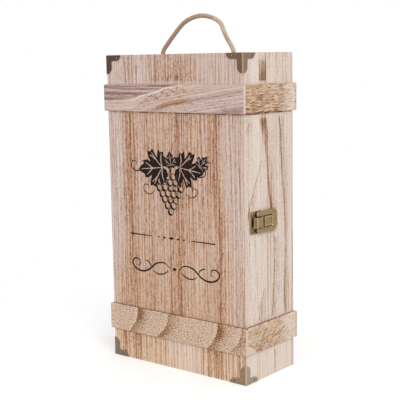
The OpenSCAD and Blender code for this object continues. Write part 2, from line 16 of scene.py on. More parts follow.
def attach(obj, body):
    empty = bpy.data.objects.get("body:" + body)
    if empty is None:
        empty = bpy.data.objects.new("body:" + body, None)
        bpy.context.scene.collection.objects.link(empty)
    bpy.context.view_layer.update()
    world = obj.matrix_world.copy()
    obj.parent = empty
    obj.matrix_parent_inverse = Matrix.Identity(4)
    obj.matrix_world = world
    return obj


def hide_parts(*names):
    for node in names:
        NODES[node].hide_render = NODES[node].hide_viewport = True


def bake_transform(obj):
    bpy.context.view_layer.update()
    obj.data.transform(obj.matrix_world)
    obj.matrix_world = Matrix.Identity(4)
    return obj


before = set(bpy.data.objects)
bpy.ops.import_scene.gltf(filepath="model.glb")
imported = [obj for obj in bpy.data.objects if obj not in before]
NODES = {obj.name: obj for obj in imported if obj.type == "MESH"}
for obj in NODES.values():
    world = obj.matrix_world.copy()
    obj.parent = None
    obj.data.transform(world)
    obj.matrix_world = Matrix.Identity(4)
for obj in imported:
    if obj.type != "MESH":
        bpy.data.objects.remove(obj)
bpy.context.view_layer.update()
MM = 0.001


def span(node, axis):
    """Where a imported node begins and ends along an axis, in millimetres."""
    places = [corner[axis] / MM for corner in NODES[node].bound_box]
    return round(min(places), 3), round(max(places), 3)


BOX_SIDE = span("front_panel", 0)[1]
BOX_FRONT = span("front_panel", 1)[0]
BOX_TOP = span("front_panel", 2)[1]
LOW_BATTEN = span("front_batten_bottom", 2)
HIGH_BATTEN = span("front_batten_top", 2)
BATTEN_SIDE = span("front_batten_top", 0)[1]

# Camera

CAMERA_AT = Vector((0.680031, -0.829192, 0.344144))
CAMERA_YAW = math.radians(39.3487)
CAMERA_DOWN = math.radians(8.3774)
CAMERA_ROLL = math.radians(-1.0014)
CAMERA_LENS = 86.194
CAMERA_SENSOR = 36.0


def make_camera():
    """The photograph's view: turned to the left of +Y, tipped down and rolled a little."""
    flat = math.cos(CAMERA_DOWN)
    forward = Vector((-math.sin(CAMERA_YAW) * flat, math.cos(CAMERA_YAW) * flat, -math.sin(CAMERA_DOWN)))
    level = forward.cross(Vector((0, 0, 1))).normalized()
    upright = level.cross(forward)
    right = math.cos(CAMERA_ROLL) * level + math.sin(CAMERA_ROLL) * upright
    up = math.cos(CAMERA_ROLL) * upright - math.sin(CAMERA_ROLL) * level
    turn = Matrix((right, up, -forward)).transposed().to_4x4()
    data = bpy.data.cameras.new("camera")
    data.sensor_width = CAMERA_SENSOR
    data.lens = CAMERA_LENS
    data.clip_start, data.clip_end = 0.05, 20
    camera = bpy.data.objects.new("camera", data)
    camera.matrix_world = Matrix.Translation(CAMERA_AT) @ turn
    bpy.context.scene.collection.objects.link(camera)
    bpy.context.scene.camera = camera


# Meshes

# Points that a curve is first worked out at, between two given ones
PER_SPAN = 40


def link_mesh(name, mesh, smooth=True):
    """A mesh as an object in the scene."""
    piece = bpy.data.objects.new(name, mesh)
    bpy.context.scene.collection.objects.link(piece)
    mesh.polygons.foreach_set("use_smooth", [smooth] * len(mesh.polygons))
    return piece


def mesh_of(name, work, outwards=True):
    """The mesh made of a bmesh, whose faces are turned outwards first where asked."""
    if outwards:
        bmesh.ops.recalc_face_normals(work, faces=work.faces)
    mesh = bpy.data.meshes.new(name)
    work.to_mesh(mesh)
    work.free()
    return mesh


def joined(name, meshes):
    """Several meshes as one."""
    work = bmesh.new()
    for mesh in meshes:
        work.from_mesh(mesh)
    return mesh_of(name, work, outwards=False)


def mesh_from(name, points, faces):
    """A mesh from points in millimetres, with its faces turned outwards."""
    mesh = bpy.data.meshes.new(name)
    mesh.from_pydata([Vector(p) * MM for p in points], [], faces)
    work = bmesh.new()
    work.from_mesh(mesh)
    bmesh.ops.recalc_face_normals(work, faces=work.faces)
    work.to_mesh(mesh)
    work.free()
    return mesh


def add_piece(name, mesh, material, body, node=None, smooth=False):
    """A visible piece that rides on a body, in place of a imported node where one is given."""
    mesh.materials.append(material)
    piece = link_mesh(name, mesh, smooth)
    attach(piece, body)
    if node:
        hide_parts(node)


def spline_points(points, step):
    """Points every step along a smooth curve through the given points."""
    points = np.array(points, float)
    padded = np.vstack([2 * points[0] - points[1], points, 2 * points[-1] - points[-2]])
    dense = []
    for i in range(1, len(padded) - 2):
        p0, p1, p2, p3 = padded[i - 1 : i + 3]
        t = np.linspace(0, 1, PER_SPAN, endpoint=False)[:, None]
        square, cube = 2 * p0 - 5 * p1 + 4 * p2 - p3, 3 * p1 - p0 - 3 * p2 + p3
        dense.append(0.5 * (2 * p1 + (p2 - p0) * t + square * t**2 + cube * t**3))
    dense = np.vstack([*dense, points[-1:]])
    along = np.concatenate([[0], np.cumsum(np.linalg.norm(np.diff(dense, axis=0), axis=1))])
    count = max(2, round(along[-1] / step) + 1)
    wanted = np.linspace(0, along[-1], count)
    return np.stack([np.interp(wanted, along, dense[:, k]) for k in range(3)], axis=1)


# Rope

ROPE_R = 2.5
ROPE_X = 50.5
# The loop from hole to hole, as x and z
ROPE_LOOP = [
    (-50.5, 350.0), (-50.7, 351.2), (-49.7, 353.8), (-47.6, 356.8), (-43.4, 361.2),
    (-33.8, 371.0), (-22.0, 381.7), (-13.8, 386.6), (-5.5, 389.5), (3.5, 391.0), (12.0, 390.7),
    (20.5, 388.8), (28.7, 385.4), (34.4, 380.4), (37.4, 373.8), (40.9, 367.2), (45.7, 360.4),
    (48.5, 356.2), (50.2, 353.0), (50.5, 350.0),
]
ROPE_STEP, ROPE_SIDES = 0.4, 40
# Strands, the length in which they twist once round, and how much of its half circle each shows
STRANDS, STRAND_PITCH, STRAND_SHOWN = 4, 10.0, 0.96
# How deep the loop's grooves are up to the first of these places, and from the second on
GROOVE_X, LOOP_GROOVES = (14, 30), (0.08, 0.32)
KNOT_GROOVES = 0.2
# The rope is thinner by this share at its ends, over this length
TAPER, TAPER_LENGTH = 0.14, 1.5
# The rope under a hole, from the hole's middle
ROPE_DOWN = [(0, 0, 350), (0, 0, 345), (0, 0, 338), (0, 0.3, 333), (0.3, 0.2, 328)]
KNOT_R, KNOT_LOW, KNOT_TOP, KNOT_TURNS, KNOT_POINTS = 4.6, 334.0, 338.4, 2.15, 45
# The knot's two ends are tucked in to this share of its radius, over this share of its length
KNOT_TUCK, TUCK_LENGTH = 0.55, 0.027


def rope_mesh(name, paths, depth_at):
    """Laid rope along each path: four strands that twist round each other, closed at both ends.

    depth_at gives how deep the grooves are at a place along x, from 0 to 1. Every point also keeps
    its place in the straight rope, for the fibres, and how far down in a groove it lies.
    """
    points, faces, places, grooves = [], [], [], []
    for path in paths:
        first = len(points)
        normal = np.array([0.0, 1.0, 0.0])
        along = 0.0
        for i, centre in enumerate(path):
            ahead = path[min(i + 1, len(path) - 1)] - path[max(i - 1, 0)]
            ahead = ahead / np.linalg.norm(ahead)
            normal = normal - ahead * (normal @ ahead)
            normal = normal / np.linalg.norm(normal)
            side = np.cross(ahead, normal)
            if i:
                along += np.linalg.norm(centre - path[i - 1])
            twist = 2 * math.pi * along / STRAND_PITCH
            depth = depth_at(centre[0])
            from_end = min(along, (len(path) - 1 - i) * ROPE_STEP)
            taper = 1 - TAPER + TAPER * min(1.0, from_end / TAPER_LENGTH)
            for k in range(ROPE_SIDES):
                angle = 2 * math.pi * k / ROPE_SIDES
                in_strand = (angle * STRANDS / math.pi) % 2 - 1
                crown = math.sqrt(1 - (STRAND_SHOWN * in_strand) ** 2)
                radius = ROPE_R * taper * (1 - depth * (1 - crown))
                turned = angle + twist
                out = math.cos(turned) * normal + math.sin(turned) * side
                points.append(centre + radius * out)
                places.append((math.cos(turned) * ROPE_R, math.sin(turned) * ROPE_R, along))
                grooves.append(1 - crown)
        rings = len(path)
        for i in range(rings - 1):
            for k in range(ROPE_SIDES):
                a = first + i * ROPE_SIDES + k
                b = first + i * ROPE_SIDES + (k + 1) % ROPE_SIDES
                faces.append((a, b, b + ROPE_SIDES, a + ROPE_SIDES))
        faces.append(tuple(range(first + ROPE_SIDES - 1, first - 1, -1)))
        last = first + (rings - 1) * ROPE_SIDES
        faces.append(tuple(range(last, last + ROPE_SIDES)))
    mesh = mesh_from(name, points, faces)
    place = mesh.attributes.new("rope_place", "FLOAT_VECTOR", "POINT")
    place.data.foreach_set("vector", np.array(places, np.float32).ravel())
    groove = mesh.attributes.new("rope_groove", "FLOAT", "POINT")
    groove.data.foreach_set("value", np.array(grooves, np.float32))
    return mesh


def make_rope():
    """The loop over the top, and the two knotted ends that stand in the holes."""
    loop = spline_points([(x, 0, z) for x, z in ROPE_LOOP], ROPE_STEP)
    rope = link_mesh("rope", rope_mesh("rope", [loop], lambda x: np.interp(x, GROOVE_X, LOOP_GROOVES)))
    paths = []
    for hole in (-ROPE_X, ROPE_X):
        paths.append(spline_points([(hole + x, y, z) for x, y, z in ROPE_DOWN], ROPE_STEP))
        turns = []
        for i in range(KNOT_POINTS):
            share = i / (KNOT_POINTS - 1)
            angle = 2 * math.pi * KNOT_TURNS * share
            tucked = KNOT_TUCK + (1 - KNOT_TUCK) * min(share, 1 - share) / TUCK_LENGTH
            radius = KNOT_R * min(1.0, tucked)
            height = KNOT_LOW + (KNOT_TOP - KNOT_LOW) * share
            turns.append((hole + radius * math.cos(angle), radius * math.sin(angle), height))
        paths.append(spline_points(turns, ROPE_STEP))
    ends = link_mesh("rope_knots", rope_mesh("rope_knots", paths, lambda x: KNOT_GROOVES))
    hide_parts("rope_loop")
    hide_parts("rope_ends")
    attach(ends, "base")
    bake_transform(rope)
    return rope, ends


make_camera()
rope, rope_knots = make_rope()

# Shader writing

BAND_SAMPLES = 96


def rgb(red, green, blue):
    """A screen colour, 0 to 255, as the values that shaders take."""

    def linear(c):
        c = c / 255
        return c / 12.92 if c <= 0.04045 else ((c + 0.055) / 1.055) ** 2.4

    return (linear(red), linear(green), linear(blue), 1.0)


class Wire:
    """What comes out of a node. Arithmetic on it adds math nodes."""

    def __init__(self, shader, socket):
        self.shader, self.socket = shader, socket

    def __add__(self, other):
        return self.shader.math("ADD", self, other)

    def __sub__(self, other):
        return self.shader.math("SUBTRACT", self, other)

    def __rsub__(self, other):
        return self.shader.math("SUBTRACT", other, self)

    def __mul__(self, other):
        return self.shader.math("MULTIPLY", self, other)

    def __abs__(self):
        return self.shader.math("ABSOLUTE", self)

    __radd__ = __add__
    __rmul__ = __mul__


class Shader:
    """A material while its nodes are written."""

    def __init__(self, name):
        self.material = bpy.data.materials.new(name)
        self.material.use_nodes = True
        self.tree = self.material.node_tree
        self.tree.nodes.clear()

    def put(self, target, value):
        """Links a wire to an input, or sets the input to a plain value."""
        if isinstance(value, Wire):
            self.tree.links.new(value.socket, target)
        else:
            target.default_value = value

    def node(self, kind, inputs=None, output=0, **settings):
        """A node with its settings and inputs; gives back one of its outputs."""
        made = self.tree.nodes.new("ShaderNode" + kind)
        for key, value in settings.items():
            setattr(made, key, value)
        for key, value in (inputs or {}).items():
            self.put(made.inputs[key], value)
        return Wire(self, made.outputs[output]) if made.outputs else None

    def math(self, operation, *values, clamp=False):
        return self.node("Math", dict(enumerate(values)), operation=operation, use_clamp=clamp)

    def most(self, value, *others):
        """The greatest of several values."""
        for other in others:
            value = self.math("MAXIMUM", value, other)
        return value

    def least(self, a, b):
        return self.math("MINIMUM", a, b)

    def clamp(self, value):
        return self.math("ADD", value, 0.0, clamp=True)

    def millimetres(self):
        """The point's x, y and z in the part's frame, in millimetres."""
        place = self.node("TexCoord", output="Object")
        scaled = self.node("VectorMath", {0: place, 1: (1000, 1000, 1000)}, operation="MULTIPLY")
        return self.split(scaled)

    def split(self, vector):
        """A vector's three parts."""
        made = self.tree.nodes.new("ShaderNodeSeparateXYZ")
        self.put(made.inputs[0], vector)
        return [Wire(self, out) for out in made.outputs]

    def join(self, x, y, z):
        """A vector from its three parts."""
        return self.node("CombineXYZ", {0: x, 1: y, 2: z})

    def noise(self, x, y, z, detail=2.0, roughness=0.5):
        """Soft noise round 0.5, one lump per unit."""
        inputs = {"Vector": self.join(x, y, z), "Scale": 1.0, "Detail": detail, "Roughness": roughness}
        return self.node("TexNoise", inputs, noise_dimensions="3D")

    def ramp(self, value, low, high, to_low=0.0, to_high=1.0):
        """value from low..high to to_low..to_high, softly at both ends and no further."""
        inputs = {0: value, 1: low, 2: high, 3: to_low, 4: to_high}
        return self.node("MapRange", inputs, interpolation_type="SMOOTHSTEP")

    def window(self, value, low, high, soft):
        """1 between low and high, and 0 outside, with soft edges."""
        return self.ramp(value, low - soft, low + soft) * self.ramp(value, high + soft, high - soft)

    def float_curve(self, value, low, high, points, handles):
        """A curve over low to high; its points are shares of that and heights from 0 to 1."""
        made = self.tree.nodes.new("ShaderNodeFloatCurve")
        places = made.mapping.curves[0].points
        for _ in points[2:]:
            places.new(0.5, 0.5)
        for place, point in zip(places, points):
            place.location = point
            place.handle_type = handles
        made.mapping.update()
        self.put(made.inputs[1], self.node("MapRange", {0: value, 1: low, 2: high, 3: 0.0, 4: 1.0}))
        return Wire(self, made.outputs[0])

    def curve(self, value, points):
        """A smooth curve through points of value and result."""
        values, results = zip(*points)
        low, high = min(values), max(values)
        bottom, top = min(results) - 1e-6, max(results) + 1e-6
        shares = [((v - low) / (high - low), (r - bottom) / (top - bottom)) for v, r in sorted(points)]
        return self.float_curve(value, low, high, shares, "AUTO") * (top - bottom) + bottom

    def bands(self, value, bands, steep=5):
        """Dark bands across the box, each with its middle, half width and strength."""
        points = []
        for i in range(BAND_SAMPLES):
            share = i / (BAND_SAMPLES - 1)
            at = -BOX_SIDE + 2 * BOX_SIDE * i / (BAND_SAMPLES - 1)
            tones = [strength / (1 + (abs(at - middle) / half) ** steep) for middle, half, strength in bands]
            points.append((share, min(1.0, max(tones))))
        return self.float_curve(value, -BOX_SIDE, BOX_SIDE, points, "VECTOR")

    def colours(self, value, stops):
        """A colour for each value, from stops of value and screen colour."""
        made = self.tree.nodes.new("ShaderNodeValToRGB")
        elements = made.color_ramp.elements
        while len(elements) < len(stops):
            elements.new(0.5)
        for element, (at, colour) in zip(elements, stops):
            element.position = at
            element.color = rgb(*colour)
        self.put(made.inputs[0], value)
        return Wire(self, made.outputs[0])

    def mix(self, share, a, b, blend="MIX"):
        """Colour a towards colour b."""
        made = self.tree.nodes.new("ShaderNodeMix")
        made.data_type = "RGBA"
        made.blend_type = blend
        for index, value in ((0, share), (6, a), (7, b)):
            self.put(made.inputs[index], value)
        return Wire(self, made.outputs[2])

    def mix_value(self, share, a, b):
        """Number a towards number b."""
        return self.node("Mix", {0: share, 2: a, 3: b})

    def bump(self, height, depth):
        """A bumpy surface, height 0 to 1 standing for depth in millimetres."""
        return self.node("Bump", {"Strength": 1.0, "Distance": depth * MM, "Height": height})

    def surface(self, colour, roughness, normal=None, **fixed):
        """Ends the material in a principled surface; fixed values go on its own sockets."""
        made = self.tree.nodes.new("ShaderNodeBsdfPrincipled")
        self.put(made.inputs["Base Color"], colour)
        self.put(made.inputs["Roughness"], roughness)
        if normal is not None:
            self.put(made.inputs["Normal"], normal)
        for key, value in fixed.items():
            made.inputs[key.replace("_", " ")].default_value = value
        out = self.tree.nodes.new("ShaderNodeOutputMaterial")
        self.tree.links.new(made.outputs[0], out.inputs["Surface"])
        return self.material


# Wood


def palette(*colours):
    """Five colours of wood, from its palest to its darkest."""
    return list(zip((0.0, 0.3, 0.55, 0.78, 1.0), colours))


PALE = palette((229, 220, 214), (213, 195, 183), (196, 166, 145), (172, 132, 105), (126, 84, 58))
GREY = palette((227, 221, 219), (214, 202, 196), (199, 179, 167), (176, 144, 124), (130, 94, 74))
WARM = palette((236, 221, 206), (218, 194, 172), (197, 161, 134), (170, 126, 94), (124, 82, 56))
SIDE = palette((234, 225, 218), (221, 208, 199), (203, 181, 163), (178, 147, 121), (134, 102, 76))
TAN = palette((229, 214, 199), (212, 190, 168), (191, 161, 134), (160, 123, 93), (116, 81, 56))
MAUVE = palette((228, 216, 208), (206, 188, 180), (181, 158, 150), (150, 120, 108), (108, 82, 74))
PINK_TINT = rgb(232, 206, 200)
HONEY_TINT = rgb(236, 208, 172)
WOOD_IOR = 1.42
# How deep the grain is, in millimetres
GRAIN_DEPTH = 0.16


def grain(s, across, depth, along, seed):
    """The grain that every board has: broad streaks, lines, fine lines, short dashes and blotches."""
    sway = s.noise(along * 0.009 + seed, across * 0.02, depth * 0.02, detail=1.0) - 0.5
    a = across + sway * 2.2
    clusters = s.noise(a * 0.11 + 5.0, depth * 0.1, along * 0.006 + seed)
    clusters = s.ramp(clusters, 0.35, 0.62, 0.72, 1.06)

    def lines(scale, reach, spread):
        """Lines of one width: noise less itself one line to the side, which leaves no broad bands."""
        place = (depth * scale * 0.8, along * reach + seed)
        near, far = s.noise(a * scale, *place, detail=0.0), s.noise(a * scale + 1.0, *place, detail=0.0)
        return s.ramp(near - far, -spread, spread) * clusters

    return SimpleNamespace(
        streaks=s.noise(a * 0.045 + seed, depth * 0.05, along * 0.003, detail=0.0),
        lines=lines(0.42, 0.005, 0.16),
        fine=lines(0.72, 0.014, 0.16),
        dashes=s.ramp(s.noise(a * 0.8 + seed, depth * 0.8, along * 0.07), 0.5, 0.66),
        specks=s.ramp(s.noise(a * 0.75, depth * 0.7, along * 0.42 + seed), 0.45, 0.64),
        hues=s.noise(a * 0.24 - seed, depth * 0.15, along * 0.006, detail=0.0),
        blotches=s.noise(across * 0.03, depth * 0.03, along * 0.012 + seed),
    )


def joint_and_shadow_lines(s, along, z, seed):
    """Dark lines on a board where a batten meets it: dark joint lines over the low ones, and a painted
    shadow under the high ones.
    """
    broken = s.ramp(s.noise(along * 0.12, z * 0.02, seed), 0.34, 0.52, 0.35, 1.0)
    over, under = LOW_BATTEN[1], HIGH_BATTEN[0]
    return broken * s.most(
        s.window(z, over - 1.5, over + 0.4, 0.4), s.window(z, under - 1.4, under + 1, 0.4)
    )


def wood_surface(s, dark, stops, tint, relief, tint_colours=(PINK_TINT, HONEY_TINT), others=()):
    """Colour by darkness, tinted from pink to honey, with the grain standing in low relief.

    others are further sets of colours, each with where it shows.
    """
    dark = s.clamp(dark)
    colour = s.colours(dark, stops)
    for other, shown in others:
        colour = s.mix(s.clamp(shown), colour, s.colours(dark, other))
    shade = s.mix(s.clamp(tint), *tint_colours)
    colour = s.mix(0.4, colour, shade, blend="MULTIPLY")
    roughness = s.ramp(dark, 0.0, 1.0, 0.62, 0.78)
    normal = s.bump(1.0 - s.clamp(relief), GRAIN_DEPTH)
    return s.surface(colour, roughness, normal, IOR=WOOD_IOR, Specular_IOR_Level=0.35)


# Dark bands: middle, half width, strength
FRONT_BANDS = [(-66, 11, 1.0), (-37, 14, 0.6), (-5, 7, 0.6), (8, 6, 1.0), (22, 9, 0.7), (38, 12, 0.45),
               (57, 7, 0.9), (80, 6, 0.12)]
FRONT_LINES = [(-54, 1.3, 0.5), (-74, 0.9, 0.35), (13, 1.3, 0.5), (-12, 1.0, 0.35), (61, 1.2, 0.45),
               (72, 1.0, 0.4), (27, 0.9, 0.3), (40, 0.9, 0.3), (95, 0.8, 0.5)]
TOP_BANDS = [(-71, 10, 0.6), (-20, 7, 0.8), (-4, 8, 1.15), (10, 5, 0.9), (26, 8, 0.55), (40, 5, 0.3)]
LOW_BANDS = [(-76, 7, 0.65), (-61, 7, 0.8), (-40, 10, 0.4), (-25, 7, 0.3), (46, 6, 0.65), (57, 6, 0.9),
             (69, 5, 0.4)]


def panel_wood(name, seed, front):
    """Upright straight grain; the front has its own bands, darker and paler by the battens."""
    s = Shader(name)
    x, y, z = s.millimetres()
    g = grain(s, x, y, z, seed)
    outside = s.ramp(abs(y), -BOX_FRONT - 0.6, -BOX_FRONT - 0.4)
    lift, cool, honey, fine, coarse, others = 0.0, 0.0, 0.0, 1.0, 1.0, ()
    if front:
        wander = x + (s.noise(z * 0.015, x * 0.01, 0.0, detail=1.0) - 0.5) * 4
        wander = wander - s.ramp(z, 230, 150) * s.ramp(x, 40, 55) * 6
        bands = s.bands(wander, FRONT_BANDS, 3)
        accents = s.bands(wander, FRONT_LINES)
        above = s.ramp(z, 316, 319) * outside
        below = s.ramp(z, 34, 31) * outside
        calm = s.window(x, 18, 40, 5) * s.ramp(z, 170, 110) * 0.8
        bands = bands * (1.0 - above) * (1.0 - below) * (1.0 - calm)
        torched = s.bands(x, TOP_BANDS, 3) * above * s.ramp(z, BOX_TOP, 322, 0.6, 1.0)
        torched = torched * s.ramp(z, 319, 323)
        torched_low = s.bands(x, LOW_BANDS, 4) * below * s.ramp(z, 0, 31, 0.5, 1.0)
        bands = s.most(bands, torched * 1.12, torched_low * 1.7)
        bands = bands - s.window(z, 317, 320.5, 1.5) * 0.3 - s.window(z, 64, 68, 2.5) * 0.15
        edge = s.most(s.ramp(wander, 62, 76), s.ramp(wander, -70, -92))
        pale_low = s.window(x, -16, 38, 8)
        right = s.ramp(x, 30, 40)
        middle = s.ramp(x, -68, -76) * s.ramp(z, 100, 130)
        # Under the low batten the wood is painted paler: partly its own colour, partly painted light thrown
        # up from the floor
        lift = below * (pale_low * 0.17 + 0.12) + edge * 0.03 - above * 0.04
        lift = lift - s.ramp(wander, 64, 80) * 0.08 + s.ramp(z, 240, 130) * 0.02 + middle * 0.04
        cool = edge * 0.35 + above * (right * -0.25 + 0.4)
        honey = below * (pale_low * -0.6 + 0.5) + s.ramp(z, 190, 80) * 0.35
        pale_top = above * s.most(s.ramp(x, 34, 44), s.ramp(x, -30, -42)) * 0.45
        fine = s.ramp(z, 150, 90, 1.0, 0.72) + below * 0.5 + above * 0.3
        coarse = below * 0.7 + above * 0.5 + edge * 0.4 + 1.0
        others = [
            (GREY, edge * 0.85 + above * 0.55 + pale_top + middle * 0.9),
            (WARM, below * (pale_low * -0.4 + 0.6) + s.ramp(z, 170, 70) * 0.4),
        ]
    else:
        bands = s.ramp(s.noise(x * 0.045 + seed, y * 0.04, z * 0.003, detail=1.0), 0.45, 0.65) * 0.8
        accents = s.ramp(s.noise(x * 0.22 - seed, y * 0.2, z * 0.002, detail=0.0), 0.66, 0.74) * 0.5
    broken = s.ramp(s.noise(x * 0.2, y * 0.2, z * 0.02 + seed), 0.35, 0.6, 0.35, 1.0)
    dark = (
        0.37
        + bands * 0.198
        + (g.streaks - 0.5) * 0.1
        + (g.lines - 0.5) * coarse * (bands * 0.04 + 0.19)
        + (g.fine - 0.5) * fine * (bands * 0.04 + 0.26)
        + g.dashes * (bands * 0.12 + 0.17)
        + g.specks * (bands * 0.12 + 0.16)
        + accents * broken * 0.16
        - lift
    )
    dark = dark - s.ramp(abs(x), BOX_SIDE - 0.4, BOX_SIDE - 0.1) * 0.25
    if front:
        dark = dark + s.window(x, BOX_SIDE - 1.8, BOX_SIDE - 0.6, 0.3) * s.ramp(z, 130, 100) * 0.4
        dark = s.mix_value(above * right * 0.3, dark, 0.42)
    # Dark joint lines over the low battens, and a painted shadow under the high ones
    dark = s.most(dark, joint_and_shadow_lines(s, x, z, seed) * outside * 0.98)
    dark = s.mix_value(outside, dark * 0.7 - 0.02, dark)
    tint = s.ramp(g.hues, 0.38, 0.62) * 0.8 + bands * 0.15 - cool + honey
    relief = g.lines * 0.5 + g.fine * 0.25 + g.dashes * 0.25
    return wood_surface(s, dark, PALE, tint, relief, others=others)


# Growth rings: middle line as height and depth, half widths at the low and high end, strength
VEINS = [
    ([(156, 8.9), (140, 10.0), (119, 8.6), (98, 7.2), (62, 4.0)], 1.6, 1.4, 0.42),
    ([(284, -9.8), (277, -9.0), (264, -5.8), (251, -4.9), (238, -3.5), (228, -2.8)], 1.5, 6.6, 0.5),
    ([(256, -5.2), (238, -3.5), (221, -2.3), (204, -0.3), (187, 3.6), (156, 8.9)], 2.8, 1.4, 0.46),
    ([(284, 18.6), (266, 21.0), (244, 22.2), (221, 24.3), (180, 28.6), (144, 30), (86, 28.5), (62, 29.7)],
     1.5, 1.5, 0.44),
    ([(240, -14.2), (230, -17.6), (209, -27), (187, -36.9), (174, -40)], 0.9, 1.2, 0.4),
    ([(281, -32), (268, -40.7), (262, -43)], 0.8, 1.0, 0.35),
    ([(102, -9), (87, -14.8), (68, -20.3), (62, -22.4)], 1.0, 0.9, 0.4),
    ([(30, 7.6), (18, 9), (2, 5.6)], 1.2, 1.4, 0.4),
]
# Darker patches of a side board: depths and how soft, heights and how soft, how much darker
SIDE_PATCHES = [
    ((24, 37, 3), (150, 250, 20), 0.12),
    ((-15.4, -5.0, 0.8), (272, 300, 10), 0.24),
    ((2, 20, 4), (165, 275, 20), 0.09),
    ((14, 28, 4), (64, 150, 20), 0.08),
    ((-8, 2, 3), (64, 150, 20), -0.08),
]


def vein(s, y, z, line, low_half, high_half, strength):
    """A long curved growth ring on a side board: sharp towards the back, fading to the front."""
    heights = [p[0] for p in line]
    low, high = min(heights), max(heights)
    off = y - s.curve(z, line)
    half = s.ramp(z, low, high, low_half, high_half)
    inner = s.ramp(off, half * -1.6, half * -0.2)
    outer = s.ramp(off, half * 1.1, half * 0.6)
    ends = s.ramp(z, low, low + 6) * s.ramp(z, high, high - 5)
    shade = s.ramp(off, -1, 1) * s.ramp(off, 13, 3)
    return s.most(inner * outer, shade * 0.3) * ends * strength


def side_wood(name, seed, right):
    """Wide-ringed boards: veins where the photograph shows them, and long arches elsewhere."""
    s = Shader(name)
    x, y, z = s.millimetres()
    g = grain(s, y, x, z, seed)
    if right:
        block = s.window(y, -17.4, -4.8, 1.6) * s.ramp(z, 319.5, 322) * s.ramp(z, 346, 340)
        block = block * s.ramp(z, 344, 322, 0.26, 0.62)
        rings = s.most(*[vein(s, y, z, *ring) for ring in VEINS], block)
    else:
        wave = s.noise(y * 0.02 + seed, x * 0.02, z * 0.006, detail=1.0) * 30
        arch = s.math("SQRT", (y + 6) * (y + 6) + (z - 330) * (z - 330) * 0.006) + wave
        ring = s.math("FRACT", arch * 0.085)
        rings = s.ramp(ring, 0.55, 0.96) * s.ramp(ring, 1.0, 0.97) * 0.5
    quiet = s.ramp(s.noise(y * 0.05, x * 0.05, z * 0.005 + seed, detail=1.0), 0.4, 0.62)
    calm = s.window(y, -44, -24, 5) * s.ramp(z, 190, 210) * -0.5 + 1.0
    below = s.ramp(z, 34, 31)
    dark = (
        0.06
        + rings * 1.05
        + (g.streaks - 0.5) * 0.3
        + (g.lines - 0.4) * (quiet * 0.14 + 0.07 + below * 0.34) * calm
        + (g.fine - 0.4) * (quiet * 0.16 + 0.14 + below * 0.2) * calm
        + quiet * 0.12
        + below * 0.08
        + g.dashes * (rings * 0.2 + quiet * 0.16 + 0.1) * calm
        + g.specks * (rings * 0.1 + 0.2)
        # Under the low batten the wood is painted paler: partly its own colour, partly painted light thrown
        # up from the floor
        - below * (s.window(y, -26, 4, 5) * 0.18 + 0.38)
        - s.ramp(y, -15, -17) * 0.06
        - s.ramp(y, 33, 42) * s.ramp(z, 110, 230, 0.3, 0.1)
        + s.ramp(z, 150, 190) * 0.025
    )
    for depths, heights, darker in SIDE_PATCHES:
        dark = dark + s.window(y, *depths) * s.window(z, *heights) * darker
    # Dark joint lines over the low battens, and a painted shadow under the high ones
    dark = s.most(dark, joint_and_shadow_lines(s, y, z, seed) * s.ramp(abs(x), BOX_SIDE - 0.6, BOX_SIDE - 0.4))
    tint = s.ramp(g.hues, 0.4, 0.6) * 0.5 + rings * 0.5 + below * 0.45
    relief = g.lines * 0.45 + g.fine * 0.3 + rings * 0.4
    tints = (rgb(238, 220, 214), rgb(238, 214, 184))
    return wood_surface(s, dark, SIDE, tint, relief, tints)


def end_wood(name, seed, stops, tone=0.12):
    """Boards whose grain runs along the box's width, and their end grain."""
    s = Shader(name)
    x, y, z = s.millimetres()
    g = grain(s, y, z, x, seed)
    dark = tone + (g.streaks - 0.5) * 0.5 + g.lines * 0.3 + g.fine * 0.12 + g.dashes * 0.1
    relief = g.lines * 0.5 + g.fine * 0.3 + g.dashes * 0.2
    return wood_surface(s, dark, stops, s.ramp(g.blotches, 0.4, 0.6), relief)


# Depth along the lower side batten, and the height up to which its front end is smooth and pale
PALE_CORNER = [(-50, 43.8), (-43, 42.8), (-36, 39.6), (-29, 33.8), (-25, 29)]
# The pale swoosh of the upper batten: its places along the batten, and how far it has climbed
SWOOSH = [(-99, 0), (-61, 1.5), (-39, 7), (-18, 11.5), (-4, 15.5), (14, 18), (30, 21), (49, 24), (99, 31)]
# A ring of the lower batten: its heights, and how far each is to the side
WAVES_LINE = [(62.5, 0), (56, -0.3), (51, -1.6), (46, -4.2), (41, -8.0), (36, -12.8), (32, -17.5)]
# Place along the batten, how far the ring leans, strength, and the height of its darkest stretch
WAVES = ((-56.0, 0.86, 1.0, 56), (-10.0, 1.1, 0.8, 40), (60.5, 0.9, 1.0, 52), (92.5, 1.1, 0.5, 46))


